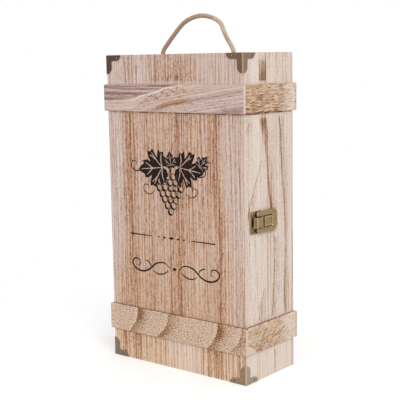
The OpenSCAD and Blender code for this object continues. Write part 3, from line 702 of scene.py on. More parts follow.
def front_batten_top(name):
    """Straight mauve lines at the upper left, and a pale swoosh that climbs to the right."""
    s = Shader(name)
    x, y, z = s.millimetres()
    w = z - s.curve(x, SWOOSH)
    left = s.ramp(w, 299.5, 300.3)
    level = s.mix_value(left, w, z)
    g = grain(s, level, y, x, 3.1)
    ripple = (s.noise(x * 0.09, w * 0.12, 2.0, detail=1.0) - 0.5) * 9
    marks = s.ramp(s.noise(x * 0.13, (w + ripple) * 0.85, 5.0, detail=1.0), 0.52, 0.62)
    marks = marks * s.window(w, 286.5, 298, 3.0) * s.window(x, -46, 26, 16)
    swoosh = s.window(w, 283.5, 299, 2.0)
    strokes = s.ramp(s.noise(x * 0.18, (w + ripple) * 0.8, 9.0), 0.54, 0.68)
    strokes = strokes * s.ramp(w, 284, 276) * s.window(x, 0, 78, 14)
    streak = s.window(w, 278.5, 283.5, 1.6) * s.window(x, -20, 24, 9)
    rim = s.window(w, 297.2, 299.2, 0.7) * s.window(x, -60, 20, 14)
    line = s.window(z, 306.9, 308.7, 0.5) * s.ramp(x, -26, -36)
    line = line * s.ramp(s.noise(x * 0.05, z * 0.1, 4.0, detail=1.0), 0.3, 0.6, 0.6, 1.0)
    second = s.window(z, 315.2, 316.6, 0.5) * s.window(x, -34, 10, 10)
    third = s.window(z, 311.4, 312.4, 0.5) * s.window(x, -70, -28, 12) * 0.6
    corner = s.ramp(w, 271, 262) * s.ramp(x, 58, 88)
    dark = (
        0.22
        + left * 0.07
        + (g.streaks - 0.5) * 0.2
        + g.lines * (left * 0.06 + 0.12)
        + g.fine * (left * 0.06 + 0.12)
        + g.dashes * 0.16
        + g.specks * 0.12
        + marks * 0.5
        + strokes * 0.3
        + streak * 0.3
        + line * 0.4
        + s.most(second, third) * 0.34
        + corner * 0.24
        + s.window(z, 300.5, 306.5, 1.5) * s.ramp(x, -55, -78) * 0.08
        - rim * 0.3
        - swoosh * 0.1
    )
    dark = s.mix_value(s.ramp(x, BATTEN_SIDE - 0.7, BATTEN_SIDE - 0.1), dark, 0.06)
    # Painted shade along the batten's left end
    dark = dark + s.ramp(x, 1 - BATTEN_SIDE, 0.2 - BATTEN_SIDE) * 0.3
    mauve = s.clamp(left * 0.75 + corner * 0.8 + s.ramp(x, 40, 90) * 0.4)
    tint = s.clamp(1.0 - mauve) * 0.3 + (streak + marks) * 0.4
    relief = g.lines * 0.35 + marks * 0.5 + strokes * 0.4
    tan = s.clamp(streak + marks * 0.7 + swoosh * 0.2 + s.window(x, -4, 26, 14) * (1.0 - left) * 0.3)
    tints = (rgb(228, 206, 212), rgb(240, 226, 206))
    return wood_surface(s, dark, MAUVE, tint, relief, tints, [(TAN, tan)])


def front_batten_bottom(name):
    """S-shaped rings, each speckled and pale to its left and dark just to its right."""
    s = Shader(name)
    x, y, z = s.millimetres()
    g = grain(s, z, y, x, 7.7)
    bend = s.curve(z, WAVES_LINE)
    uneven = (s.noise(x * 0.04, z * 0.07, 1.0, detail=1.0) - 0.5) * 1.6
    waves, rims = [], []
    for at, reach, strength, deepest in WAVES:
        off = x - bend * reach - at + uneven
        core = s.ramp(off, 13.0, 3.0) * s.window(z, deepest - 6, deepest + 6, 6.0) * 0.6
        waves.append(s.ramp(off, -0.8, 0.8) * s.clamp(s.ramp(off, 25.0, -4.0) * 0.8 + core) * strength)
        rims.append(s.window(off, -4.0, -0.8, 1.2) * strength)
    waves, rim = s.most(*waves), s.most(*rims)
    speckle = s.ramp(s.noise(x * 0.62, y * 0.5, z * 0.8, roughness=0.6), 0.44, 0.58)
    fine = s.ramp(s.noise(x * 1.1 + 7, y * 0.9, z * 1.3, detail=1.0), 0.42, 0.6)
    speckle = speckle * 0.55 + fine * 0.45
    dark = -0.266 + waves * 0.88 + speckle * (waves * -0.4 + 1.2) + (g.streaks - 0.5) * 0.2 - rim * 0.16
    dark = dark - s.ramp(x, -78, -98) * 0.12
    end = s.ramp(abs(x), BATTEN_SIDE - 0.7, BATTEN_SIDE - 0.1)
    dark = s.mix_value(end, dark, 0.08)
    inner_edge = s.ramp(y, BOX_FRONT - 2.2, BOX_FRONT - 1.6) * s.ramp(z, 61.4, 61.8)
    dark = s.most(dark, inner_edge * 0.9)
    relief = speckle * 0.7 + waves * 0.3
    tint = s.ramp(g.blotches, 0.4, 0.6) * 0.3 + 0.4 + rim * 0.4 + waves * 0.3 - s.ramp(x, -80, -94) * 0.5
    return wood_surface(s, dark, TAN, tint - end * 0.4, relief)


def batten_wood(name, seed, slant, sideways):
    """Tan battens with short wavy dark strokes; sideways ones have their grain along the depth."""
    s = Shader(name)
    x, y, z = s.millimetres()
    along, depth = (y, x) if sideways else (x, y)
    g = grain(s, z, depth, along, seed)
    steep = slant > 0.2
    stretch, close = (1.0, 1.0) if steep else (0.7, 1.35)
    ripple = (s.noise(along * 0.1 + seed, z * 0.12, depth * 0.05, detail=1.0) - 0.5) * 6 * stretch
    level = z + ripple - along * slant
    strokes = s.noise(along * 0.11 * stretch, depth * 0.1, level * 0.75 * close + seed, detail=1.0)
    small = s.noise(along * 0.2 * stretch, depth * 0.2, level * 1.3 * close - seed, detail=1.0)
    strokes, small = s.ramp(strokes, 0.48, 0.6), s.ramp(small, 0.47, 0.59)
    calm = s.ramp(s.noise(along * 0.03, z * 0.05, seed, detail=1.0), 0.35, 0.6, 0.6, 1.0)
    base = 0.0 if steep else 0.07
    dark = base + strokes * calm * 0.5 + small * 0.34 + (g.streaks - 0.5) * 0.3
    dark = dark + g.specks * 0.08 + g.lines * 0.12
    others = ()
    if sideways:
        back = s.ramp(along, 4 if steep else 12, 44)
        dark = dark - back * 0.3 + s.window(along, -38, -14, 8) * 0.09
        others = [(SIDE, back)]
        if steep:
            over = z - s.curve(along, PALE_CORNER)
            corner = s.ramp(over, 0.5, -0.5) * s.ramp(along, -26, -27)
            dark = dark + s.window(over, 0.2, 2.4, 1.0) * s.window(along, -45, -27, 3) * 0.22
            dark = s.mix_value(corner, dark, dark * 0.2 + 0.1)
            others.append((SIDE, corner * 0.6))
        dark = dark + s.window(z, 287.6, 289.2, 0.5) * 0.4 * s.ramp(along, 20, 8)
        top_edge = s.ramp(z, 61.4, 61.8) * s.ramp(z, 64, 62.6)
        dark = s.most(dark, s.ramp(abs(x), BATTEN_SIDE - 0.8, BATTEN_SIDE - 1.4) * top_edge * 0.9)
    else:
        dark = dark - s.ramp(abs(along), BATTEN_SIDE - 0.7, BATTEN_SIDE - 0.1) * 0.25
    relief = strokes * 0.6 + small * 0.3
    tint = s.ramp(g.blotches, 0.42, 0.6) * 0.4 + 0.45
    return wood_surface(s, dark, TAN, tint, relief, others=others)


# Metal


def bronze(name, worn, body, deep, roughness=0.42, edge_wear_and_highlight=0.55, reach=0.5, patina_and_shade_reach=1.5, paint=None):
    """Antique plating: a brown patina, darkened in the hollows and in the gaps between parts by patina and
    painted shade, and brightened along the edges by worn metal and a painted highlight.

    reach and the argument after it are how far, in millimetres, the bright edges and the dark of the hollows
    and gaps spread. paint may change the colour by place.
    """
    s = Shader(name)
    x, y, z = s.millimetres()
    cloud = s.noise(x * 0.25, y * 0.25, z * 0.25, detail=3.0, roughness=0.6)
    speck = s.noise(x * 2.2, y * 2.2, z * 2.2)
    brushed = s.noise(x * 1.2, y * 1.2, z * 6.0)
    bevel = s.node("Bevel", {0: reach * MM}, samples=6)
    geometry = s.node("NewGeometry", output="Normal")
    bent = s.node("VectorMath", {0: bevel, 1: geometry}, operation="DOT_PRODUCT", output=1)
    edge = s.ramp(bent, 0.995, 0.86) * s.ramp(speck, 0.3, 0.6, 0.5, 1.0)
    patina_and_shade = s.node("AmbientOcclusion", {"Distance": patina_and_shade_reach * MM}, output="AO", samples=8)
    tone = s.clamp(s.ramp(cloud, 0.35, 0.65) * 0.6 + s.ramp(speck, 0.42, 0.68) * 0.4)
    colour = s.mix(tone, rgb(*deep), rgb(*body))
    if paint:
        colour = paint(s, colour, x, y, z)
    # Edges and brushed streaks brightened: the edges partly worn metal, partly a painted highlight
    colour = s.mix(s.clamp(edge * edge_wear_and_highlight + s.ramp(brushed, 0.55, 0.75) * 0.14), colour, rgb(*worn))
    # Darkened in hollows and gaps between parts: partly patina, partly painted shade
    colour = s.mix(s.ramp(patina_and_shade, 0.78, 0.35) * 0.85, colour, rgb(58, 42, 28))
    rough = s.ramp(cloud, 0.3, 0.7, roughness - 0.06, roughness + 0.12)
    height = speck * 0.5 + brushed * 0.5
    return s.surface(colour, rough, s.bump(height, 0.03), Metallic=1.0)


# How thick the corner protectors' metal is
GUARD_SHEET = 0.8
# The nails at the box's sides: their depth, and how far they are from its top and bottom
NAIL_Y, NAIL_IN = -31.5, 3.4


def lit_side_and_fold_highlight(side, fold_wear_and_highlight):
    """A corner protector's colours: its side half painted lighter, as lit, and its bend painted bright,
    partly worn metal and partly a highlight.
    """

    def paint(s, colour, x, y, z):
        # Side half painted lighter, as lit
        colour = s.mix(s.ramp(abs(x), BOX_SIDE - 0.6, BOX_SIDE), colour, rgb(*side))
        from_side = s.most(BOX_SIDE + GUARD_SHEET - abs(x), 0.0)
        from_fold = from_side + s.most(y + (GUARD_SHEET - BOX_FRONT), 0.0)
        # Painted highlight along the bend, partly worn metal
        return s.mix(s.ramp(from_fold, 1.1, 0.35) * 0.7, colour, rgb(*fold_wear_and_highlight))

    return paint


def painted_dimple_shade(s, colour, x, y, z):
    """Painted shade of a dimple in the middle of the nails at the box's sides; the heads are smooth domes.
    """
    up = s.least(abs(z - NAIL_IN), abs(z - (BOX_TOP - NAIL_IN)))
    away = y - NAIL_Y
    near = s.ramp(s.math("SQRT", away * away + up * up), 1.25, 0.6)
    return s.mix(near * s.ramp(abs(x), BOX_SIDE + 0.2, BOX_SIDE + 0.6), colour, rgb(26, 20, 17))


def shaded_plate_ears(s, colour, x, y, z):
    """Painted shade on the ears of the latch plate, which stand in the gaps beside the bail's legs."""
    return s.mix(s.ramp(x, BOX_SIDE + 1.2, BOX_SIDE + 1.8) * 0.8, colour, rgb(70, 52, 36))


def shaded_lip_and_fold_highlight(s, colour, x, y, z):
    """The lever's finger lip is painted darker as shade, and the bend behind it gets a painted highlight."""
    # Painted shade on the lip
    colour = s.mix(s.ramp(y, -28.6, -29.8) * 0.7, colour, rgb(128, 100, 84))
    # Painted highlight on the bend
    return s.mix(s.window(y, -28.4, -27.0, 0.5) * 0.5, colour, rgb(236, 218, 180))


def rope_fibre(name):
    """Laid plant fibre: fine hairs along the strands, painted shade in the grooves, paler on the right."""
    s = Shader(name)
    u, v, along = s.split(s.node("Attribute", attribute_name="rope_place", output="Vector"))
    groove = s.node("Attribute", attribute_name="rope_groove", output="Fac")
    x, y, z = s.millimetres()
    hairs = s.noise(u * 3.2, v * 3.2, along * 0.35, roughness=0.65)
    patches = s.noise(u * 0.2, v * 0.2, along * 0.1)
    right = s.ramp(x, 14, 32)
    bright = s.ramp(hairs, 0.35, 0.65)
    tan = s.mix(bright, rgb(142, 111, 92), rgb(194, 165, 144))
    olive = s.mix(bright, rgb(176, 156, 128), rgb(230, 213, 188))
    colour = s.mix(s.clamp(right * s.ramp(patches, 0.35, 0.55, 0.6, 1.0)), tan, olive)
    # Painted shade in the grooves between the strands
    groove_shade = s.ramp(groove, 0.1, 0.7) * (right * 0.6 + 0.25)
    colour = s.mix(groove_shade, colour, rgb(104, 78, 58))
    normal = s.bump(hairs - groove * 0.3, 0.22)
    return s.surface(colour, 0.85, normal, Specular_IOR_Level=0.2, Sheen_Weight=0.25, Sheen_Roughness=0.5)


def ink(name):
    """Printed dark ink, worn thin along the grain."""
    s = Shader(name)
    x, y, z = s.millimetres()
    worn = s.noise(x * 0.9, y * 0.1, z * 0.12, roughness=0.6)
    colour = s.mix(s.ramp(worn, 0.55, 0.75) * 0.8, rgb(26, 21, 20), rgb(92, 70, 60))
    return s.surface(colour, 0.75, s.bump(worn, 0.02), Specular_IOR_Level=0.12)


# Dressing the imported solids


def dress(names, material, bevel=0.0):
    """Gives nodes their material, and lightly rounds their edges."""
    for name in names:
        node = NODES[name]
        node.data.materials.clear()
        node.data.materials.append(material)
        if bevel:
            weld = node.modifiers.new("weld", "WELD")
            weld.merge_threshold = 1e-6
            rounding = node.modifiers.new("bevel", "BEVEL")
            rounding.width = bevel * MM
            rounding.segments = 2
            rounding.limit_method = "ANGLE"
            rounding.angle_limit = math.radians(40)
            rounding.harden_normals = False
            node.modifiers.new("normals", "WEIGHTED_NORMAL").keep_sharp = True


front_wood = panel_wood("front_wood", 1.3, True)
dress(["front_panel"], front_wood, 0.35)
dress(["back_panel"], panel_wood("back_wood", 21.7, False), 0.35)
dress(["lid_side_right", "base_side_right"], side_wood("right_wood", 4.2, True), 0.3)
dress(["lid_side_left", "base_side_left"], side_wood("left_wood", 31.4, False), 0.3)
dress(
    ["lid_top_board", "lid_bottom_board", "top_board", "bottom_board"],
    end_wood("end_wood", 11.9, SIDE), 0.3,
)
dress(["divider"], panel_wood("divider_wood", 47.0, False), 0.3)
dress(["front_batten_top"], front_batten_top("front_batten_top_wood"), 0.3)
dress(["front_batten_bottom"], front_batten_bottom("front_batten_bottom_wood"), 0.3)
dress(["back_batten_top", "back_batten_bottom"], batten_wood("back_batten_wood", 15.5, 0.04, False), 0.3)
for level, seed, slant in (("top", 6.3, 0.02), ("bottom", 9.8, 0.35)):
    sides = [f"{body}_batten_{side}_{level}" for side in ("right", "left") for body in ("lid", "base")]
    dress(sides, batten_wood(f"side_batten_{level}_wood", seed, slant, True), 0.25)

# Each corner protector's metal: its name, and its colours where it is worn and given a painted highlight at
# its edges, where it is bright, in its dark spots, on its side half, which is painted lighter as lit, and
# along its bend, worn and with a painted highlight
GUARDS = {
    "guard_top_left": (
        "guard_dark_bronze",
        (128, 108, 98), (88, 71, 64), (68, 54, 49), (110, 92, 80), (118, 100, 90),
    ),
    "guard_top_right": (
        "guard_brown_bronze",
        (200, 176, 150), (112, 89, 71), (90, 71, 57), (146, 122, 102), (196, 170, 146),
    ),
    "guard_bottom_left": (
        "guard_grey_bronze",
        (196, 176, 156), (146, 127, 110), (122, 105, 93), (150, 134, 120), (176, 158, 142),
    ),
    "guard_bottom_right": (
        "guard_tan_bronze",
        (210, 188, 160), (156, 133, 107), (134, 113, 92), (164, 150, 130), (214, 196, 172),
    ),
}
for guard, (metal, worn, body, deep, side, fold_wear_and_highlight) in GUARDS.items():
    dress([guard], bronze(metal, worn, body, deep, paint=lit_side_and_fold_highlight(side, fold_wear_and_highlight)), 0.2)
nail_bronze = bronze("nail_bronze", (236, 228, 212), (88, 74, 62), (62, 51, 43), 0.25, 0.5, paint=painted_dimple_shade)
dress(["guard_nails"], nail_bronze)
# The latch's edges are brightened more: partly worn metal, partly a painted highlight
LATCH = dict(worn=(240, 224, 184), body=(176, 150, 110), deep=(142, 116, 82), edge_wear_and_highlight=0.85, reach=0.9)
latch_bronze = bronze("latch_bronze", **LATCH)
dress(["strike_plate"], latch_bronze, 0.3)
# The plate's ears get painted shade
dress(["latch_plate"], bronze("latch_plate_bronze", paint=shaded_plate_ears, **LATCH), 0.3)
hinge_bronze = bronze("hinge_bronze", (214, 196, 156), (146, 124, 90), (110, 90, 64))
dress(
    ["hinge_leaf_lid_top", "hinge_leaf_lid_bottom", "hinge_leaf_base_top", "hinge_leaf_base_bottom"],
    hinge_bronze, 0.18,
)
pin_bronze = bronze("pin_bronze", (230, 212, 172), (176, 152, 114), (134, 110, 80), 0.34)
dress(["latch_pivot_pin", "bail_pin", "hinge_pin_top", "hinge_pin_bottom"], pin_bronze, 0.12)

# Latch

LATCH_Z = 173.0
# The bail's U: where its legs end, its far end, and half its width
BAIL_START, BAIL_END, BAIL_HALF = -26.75, 9.8, 11.7
# Half the gap between its legs, and where the gap ends
BAIL_INNER_HALF, BAIL_WEB = 6.3, 0.4
# How round it is: at its legs' ends outside and inside, at its far end and in the gap's corners
LEG_OUTSIDE, LEG_INSIDE, FAR_CORNER, GAP_CORNER = 3.2, 1.9, 6.0, 2.2
# Rings of the bail's edge: how far in from its outline, and height as x
BAIL_RINGS = [(0.3, 97.5), (0.0, 97.8), (0.0, 98.9), (0.12, 99.3), (0.4, 99.6), (0.8, 99.66), (1.15, 99.5),
              (1.4, 99.2), (1.7, 99.12)]
# The lever's outer face from its lip to its barrel, as y and x
LEVER_FACE = [(-32.2, 98.9), (-31.6, 99.3), (-30.6, 99.85), (-29.4, 100.45), (-28.3, 100.8),
              (-27.4, 100.85), (-26.6, 100.6), (-25.4, 100.5), (-24.6, 100.62), (-23.8, 100.5),
              (-20.0, 100.5), (-18.0, 100.5)]
LEVER_SHEET, LEVER_HALF, LIP_HALF = 0.8, 5.3, 5.7
# The lip: where it begins to widen and over what length, then where its end begins to be round,
# over what length, and how much narrower that makes it on each side
LIP_START, LIP_WIDENS = -27.0, 1.5
TIP_START, TIP_LENGTH, TIP_NARROWS = -30.8, 1.4, 1.1
# How much the sheet's edges are rounded, in its thickness and in its width
EDGE_DEEP, EDGE_WIDE = 0.22, 0.18
LEVER_PIN, LEVER_BARREL, EYE_R = (-25.4, 98.5), (-18.0, 99.1), 1.45
# The lever's side walls: how far out from the middle they begin and end, and their upper edge
WALL_IN, WALL_OUT, WALL_TOP = 4.4, 5.24, 100.0
BARREL_EASE = 0.2


def arc(y, z, radius, start, end, count=7):
    """Points round a centre, from one angle to another."""
    angles = [math.radians(start + (end - start) * i / (count - 1)) for i in range(count)]
    return [(y + radius * math.cos(a), z + radius * math.sin(a)) for a in angles]


def skin(work, rings):
    """Faces from each ring of a bmesh's points to the next, and over both ends, which it returns."""
    for before, after in zip(rings, rings[1:]):
        for k in range(len(before)):
            n = (k + 1) % len(before)
            work.faces.new((before[k], before[n], after[n], after[k]))
    return [work.faces.new(rings[0]), work.faces.new(rings[-1][::-1])]


def loft(name, rings):
    """A closed mesh through rings of equally many points, with its two ends filled."""
    work = bmesh.new()
    ends = skin(work, [[work.verts.new([c * MM for c in point]) for point in ring] for ring in rings])
    work.normal_update()
    bmesh.ops.triangulate(work, faces=ends)
    return mesh_of(name, work)


def bail_outline(inset):
    """The bail's U in y and z, moved in by inset all round."""
    start, end, half = BAIL_START + inset, BAIL_END - inset, BAIL_HALF - inset
    inner, web = BAIL_INNER_HALF + inset, BAIL_WEB + inset
    tip, corner = LEG_OUTSIDE - inset, FAR_CORNER - inset
    round_in, notch = max(0.25, LEG_INSIDE - inset), GAP_CORNER + inset
    side = arc(start + tip, half - tip, tip, 180, 90) + arc(end - corner, half - corner, corner, 90, 0)
    leg = arc(start + round_in, -inner - round_in, round_in, 180, 90)
    leg += arc(web - notch, -inner + notch, notch, -90, 0)
    lower = [(y, -z) for y, z in reversed(side)]
    upper_leg = [(y, -z) for y, z in reversed(leg)]
    return side + lower + leg + upper_leg


def finish_metal(name, mesh, material, node, body):
    """A piece of the latch, smooth but for its sharp edges."""
    add_piece(name, mesh, material, body, node, smooth=True)
    mesh.set_sharp_from_angle(angle=math.radians(38))


def make_bail(material):
    """The pressed U: its rim stands up round the web and round the tips of its legs."""
    rings = [[(x, y, LATCH_Z + z) for y, z in bail_outline(inset)] for inset, x in BAIL_RINGS]
    finish_metal("latch_bail_pressed", loft("latch_bail_pressed", rings), material, "latch_bail", "bail")


def lever_half(y):
    """Half the lever's width: wider at the lip, and narrowing to the lip's rounded end."""
    lip = min(1.0, max(0.0, (LIP_START - y) / LIP_WIDENS))
    tip = min(1.0, max(0.0, (TIP_START - y) / TIP_LENGTH))
    return LEVER_HALF + (LIP_HALF - LEVER_HALF) * lip - TIP_NARROWS * tip**2


def make_lever(material):
    """The lever's sheet, bent down to its lip, with its side walls and the barrel on its pivot."""
    face = spline_points([(y, x, 0) for y, x in LEVER_FACE], 0.35)[:, :2]
    ahead = np.gradient(face, axis=0)
    ahead /= np.linalg.norm(ahead, axis=1)[:, None]
    inwards = np.stack([ahead[:, 1], -ahead[:, 0]], axis=1)
    rings = []
    for side, deep, wide in ((-1, EDGE_DEEP, 0), (-1, 0, EDGE_WIDE), (1, 0, EDGE_WIDE), (1, EDGE_DEEP, 0)):
        ring = np.vstack([face + inwards * deep, (face + inwards * (LEVER_SHEET - deep))[::-1]])
        rings.append([(x, y, LATCH_Z + side * (lever_half(y) - wide)) for y, x in ring])
    pieces = [loft("sheet", rings)]
    (pin_y, pin_x), (pivot_y, pivot_x) = LEVER_PIN, LEVER_BARREL
    wall = arc(pin_y, pin_x, EYE_R, 180, 290) + arc(pivot_y, pivot_x, EYE_R, 285, 360)
    wall += [(pivot_y + EYE_R, WALL_TOP - 0.6), (pivot_y, WALL_TOP), (pin_y - EYE_R, WALL_TOP)]
    for side in (-1, 1):
        near, far = LATCH_Z + side * WALL_IN, LATCH_Z + side * WALL_OUT
        pieces.append(loft("wall", [[(x, y, z) for y, x in wall] for z in (near, far)]))
    barrel = arc(pivot_y, pivot_x, EYE_R - 0.02, 0, 345, 24)
    rim = arc(pivot_y, pivot_x, EYE_R - BARREL_EASE, 0, 345, 24)
    eased = LEVER_HALF - BARREL_EASE
    ends = ((rim, -LEVER_HALF), (barrel, -eased), (barrel, eased), (rim, LEVER_HALF))
    pieces.append(loft("barrel", [[(x, y, LATCH_Z + z) for y, x in ring] for ring, z in ends]))
    mesh = joined("latch_lever_pressed", pieces)
    finish_metal("latch_lever_pressed", mesh, material, "latch_lever", "lever")


make_bail(latch_bronze)
make_lever(bronze("lever_bronze", paint=shaded_lip_and_fold_highlight, **LATCH))

# Screws

SCREW_R, SHANK_R, SHANK_DEPTH, SHANK_POINT = 2.2, 1.2, 7.0, 1.6
SLOT_HALF, SLOT_DEPTH, SLOT_REACH = 0.32, 0.6, 4.0
# How thick a head's edge is, and how many sides a screw is turned with
HEAD_EDGE, SCREW_SIDES = 0.12, 40
# Node: its body, the way out, the metal's surface and thickness, the heads' rise, and the screws,
# each with its place and the angle of its slot
SCREWS = {
    "latch_plate_screws": ("lid", 1, 96.8, 0.8, 1.1, ((-31.6, 164.5, 35), (-31.6, 181.5, 80))),
    "strike_screws": ("base", 1, 96.8, 0.8, 0.0, ((4.35, 166.0, 20), (4.35, 180.0, 65))),
    "hinge_screws_lid": (
        "lid", -1, -97.2, 1.2, 0.0,
        ((-25.5, 100.5, 10), (-25.5, 119.5, 50), (-25.5, 230.5, 75), (-25.5, 249.5, 140)),
    ),
    "hinge_screws_base": (
        "base", -1, -97.2, 1.2, 0.0,
        ((-6.5, 100.5, 120), (-6.5, 119.5, 30), (-6.5, 230.5, 95), (-6.5, 249.5, 160)),
    ),
}


def turned(profile, sides, at, out):
    """Points and faces of a shape turned round the x axis, from heights along it and radii."""
    points = [(at[0] + out * profile[0][0], at[1], at[2])]
    faces = []
    for height, radius in profile[1:-1]:
        for k in range(sides):
            angle = 2 * math.pi * k / sides
            turn = (radius * math.cos(angle), radius * math.sin(angle))
            points.append((at[0] + out * height, at[1] + turn[0], at[2] + turn[1]))
    points.append((at[0] + out * profile[-1][0], at[1], at[2]))
    rings = len(profile) - 2
    for k in range(sides):
        after = (k + 1) % sides
        faces.append((0, 1 + k, 1 + after))
        for i in range(rings - 1):
            a, b = 1 + i * sides + k, 1 + i * sides + after
            faces.append((a, a + sides, b + sides, b))
        last = 1 + (rings - 1) * sides
        faces.append((last + k, len(points) - 1, last + after))
    return points, faces


def screw(name, at, out, metal, rise, angle):
    """A slotted screw: a domed head on the metal, or a flat one sunk into it."""
    end = -metal - SHANK_DEPTH
    profile = [(end, 0), (end + 0.1, 0.3), (end + SHANK_POINT, SHANK_R)]
    if rise:
        profile += [(0.0, SHANK_R), (0.0, SCREW_R), (HEAD_EDGE, SCREW_R)]
        for step in range(1, 7):
            share = math.radians(15 * step)
            height = HEAD_EDGE + (rise - HEAD_EDGE) * math.sin(share)
            profile.append((height, SCREW_R * math.cos(share) + 1e-3))
        profile.append((rise, 0))
    else:
        profile += [(SHANK_R - SCREW_R, SHANK_R), (-0.1, SCREW_R - 0.02), (0, SCREW_R - HEAD_EDGE), (0, 0)]
    head = link_mesh(name, mesh_from(name, *turned(profile, SCREW_SIDES, at, out)), False)
    c, d = math.cos(math.radians(angle)), math.sin(math.radians(angle))
    cut_points = []
    for height in (rise - SLOT_DEPTH, rise + 1.0):
        for u, v in ((-1, -1), (1, -1), (1, 1), (-1, 1)):
            u, v = u * SLOT_REACH, v * SLOT_HALF
            cut_points.append((at[0] + out * height, at[1] + u * c - v * d, at[2] + u * d + v * c))
    cut_faces = [(0, 1, 2, 3), (4, 5, 6, 7), (0, 1, 5, 4), (1, 2, 6, 5), (2, 3, 7, 6), (3, 0, 4, 7)]
    cutter = link_mesh("cutter", mesh_from("cutter", cut_points, cut_faces), False)
    cut = head.modifiers.new("slot", "BOOLEAN")
    cut.operation, cut.solver, cut.object = "DIFFERENCE", "EXACT", cutter
    bpy.context.view_layer.update()
    done = bpy.data.meshes.new_from_object(head.evaluated_get(bpy.context.evaluated_depsgraph_get()))
    bpy.data.objects.remove(cutter)
    bpy.data.objects.remove(head)
    return done


def make_screws():
    """Each packed set of screws again, with slots."""
    material = bronze("screw_bronze", (214, 198, 162), (150, 128, 96), (108, 90, 64), 0.36, 0.7)
    for node, (body, out, surface, metal, rise, places) in SCREWS.items():
        screws = [screw(node, (surface, y, z), out, metal, rise, angle) for y, z, angle in places]
        name = node + "_slotted"
        add_piece(name, joined(name, screws), material, body, node)


make_screws()

rope_look = rope_fibre("rope_fibre")
for piece in (rope, rope_knots):
    piece.data.materials.append(rope_look)

# Printed ornament

# How far the ink stands out of the front panel, and how far it reaches into it
INK_RISE, INK_SUNK = 0.07, 0.03
# How much higher outlines and veins lie than strokes, and the steps in height between neighbours
OUTLINE_RISE, VEIN_RISE, OUTLINE_STEP, STROKE_STEP = 0.06, 0.12, 0.01, 0.006
GRAPE_R, GRAPE_TOP, GRAPE_X = 4.3, 217.0, -5.0
GRAPE_ACROSS, GRAPE_DOWN = 7.7, 6.5
GRAPE_ROWS = (4, 5, 5, 4, 3, 2, 1)
# A grape's rim and its shaded side: radius, first angle, angle turned, and least and greatest width
GRAPE_ARCS = ((GRAPE_R - 0.35, 0, 360, 0.75, 0.75), (GRAPE_R - 1.5, 125, 190, 0.15, 2.3))
ARC_POINTS = 49
LEAF = [
    (0.0, 0.03), (0.1, -0.13), (0.3, -0.17), (0.35, -0.06), (0.52, -0.05), (0.49, 0.08), (0.6, 0.16),
    (0.43, 0.22), (0.33, 0.23), (0.5, 0.34), (0.64, 0.4), (0.55, 0.52), (0.58, 0.64), (0.42, 0.62),
    (0.22, 0.54), (0.3, 0.7), (0.29, 0.82), (0.17, 0.85), (0.11, 0.98), (0.0, 1.1),
]
LEAF_VEINS = [[(0, 0.03), (0, 0.5), (0, 0.96)], [(0, 0.05), (0.24, 0.26), (0.52, 0.46)],
              [(0, 0.05), (0.24, 0.08), (0.46, 0.03)], [(0, 0.45), (0.1, 0.6), (0.2, 0.74)],
              [(0.24, 0.26), (0.36, 0.4), (0.44, 0.54)]]
# A leaf's veins are this share of its length wide
VEIN_WIDTH = 0.035
# Leaves: foot, angle from straight up, length
LEAVES = [(-14, 227, 96, 34), (8, 228, -98, 32), (-3, 229, 8, 15), (37, 229, -40, 15)]
# How far apart a stroke's points are, and how thin its ends are, as a share of its middle
STROKE_POINTS, STROKE_THIN = 0.9, 0.35
# Strokes: points, greatest width
VINE = [
    ([(-46, 233), (-34, 229.5), (-20, 231.5), (-6, 228.5), (10, 231.5), (26, 229.5), (42, 232)], 2.6),
    ([(-6, 229), (-4.2, 225), (-5, 220)], 2.2),
    ([(24, 229.5), (29, 222), (38, 219), (45, 222), (44, 228), (39, 227.5), (39.5, 224)], 1.2),
    ([(-34, 230), (-43, 224), (-54, 221), (-62, 225), (-60, 232), (-54, 231), (-55, 227)], 1.2),
    ([(40, 231.5), (46, 236), (53, 235)], 1.2),
    ([(16, 200), (24, 196), (32, 199), (33, 205), (28, 206), (27, 202)], 1.1),
    ([(-26, 202), (-34, 196), (-43, 199), (-43, 206), (-37, 206), (-37, 202)], 1.1),
]
RULES = [([(-66, 148.5), (-34, 148.5)], 1.5), ([(57, 148.5), (24, 148.5)], 1.5)]
DIAMONDS = [(-5, 148.5, 4.2, 3.4), (-15, 148.5, 2.8, 2.2), (5, 148.5, 2.8, 2.2),
            (-23.5, 148.5, 1.9, 1.6), (13.5, 148.5, 1.9, 1.6), (-1, 114, 3.2, 4.2)]
# The right half of the flourish, mirrored about its middle
FLOURISH_X = -1.0
FLOURISH = [
    ([(5, 114), (14, 119.5), (26, 117.5), (37, 109.5), (47, 106.5), (57, 108.5), (62, 114.5), (58.5, 120),
      (52, 119.5), (50.5, 114.5), (54, 112.5)], 2.0),
    ([(8, 111.5), (15, 107), (24, 106), (31, 109)], 1.5),
    ([(33, 113.5), (37, 118), (43, 120)], 1.5),
]


def slabs(name, outlines, strokes, rise, material):
    """Thin closed slabs on the front panel, from outlines and from strokes given by their two sides."""
    work = bmesh.new()

    def level(points, y):
        return [work.verts.new((x * MM, y * MM, z * MM)) for x, z in points]

    for order, (left, right) in enumerate(strokes):
        heights = (BOX_FRONT + INK_SUNK, BOX_FRONT - rise - STROKE_STEP * (order % 9))
        corners = [level(side, y) for y in heights for side in (left, right)]
        skin(work, list(zip(corners[0], corners[1], corners[3], corners[2])))
    for order, outline in enumerate(outlines):
        back = level(outline, BOX_FRONT + INK_SUNK)
        front = level(outline, BOX_FRONT - rise - OUTLINE_RISE - OUTLINE_STEP * order)
        flat = skin(work, [back, front])
        work.normal_update()
        bmesh.ops.triangulate(work, faces=flat)
    add_piece(name, mesh_of(name, work), material, "lid")


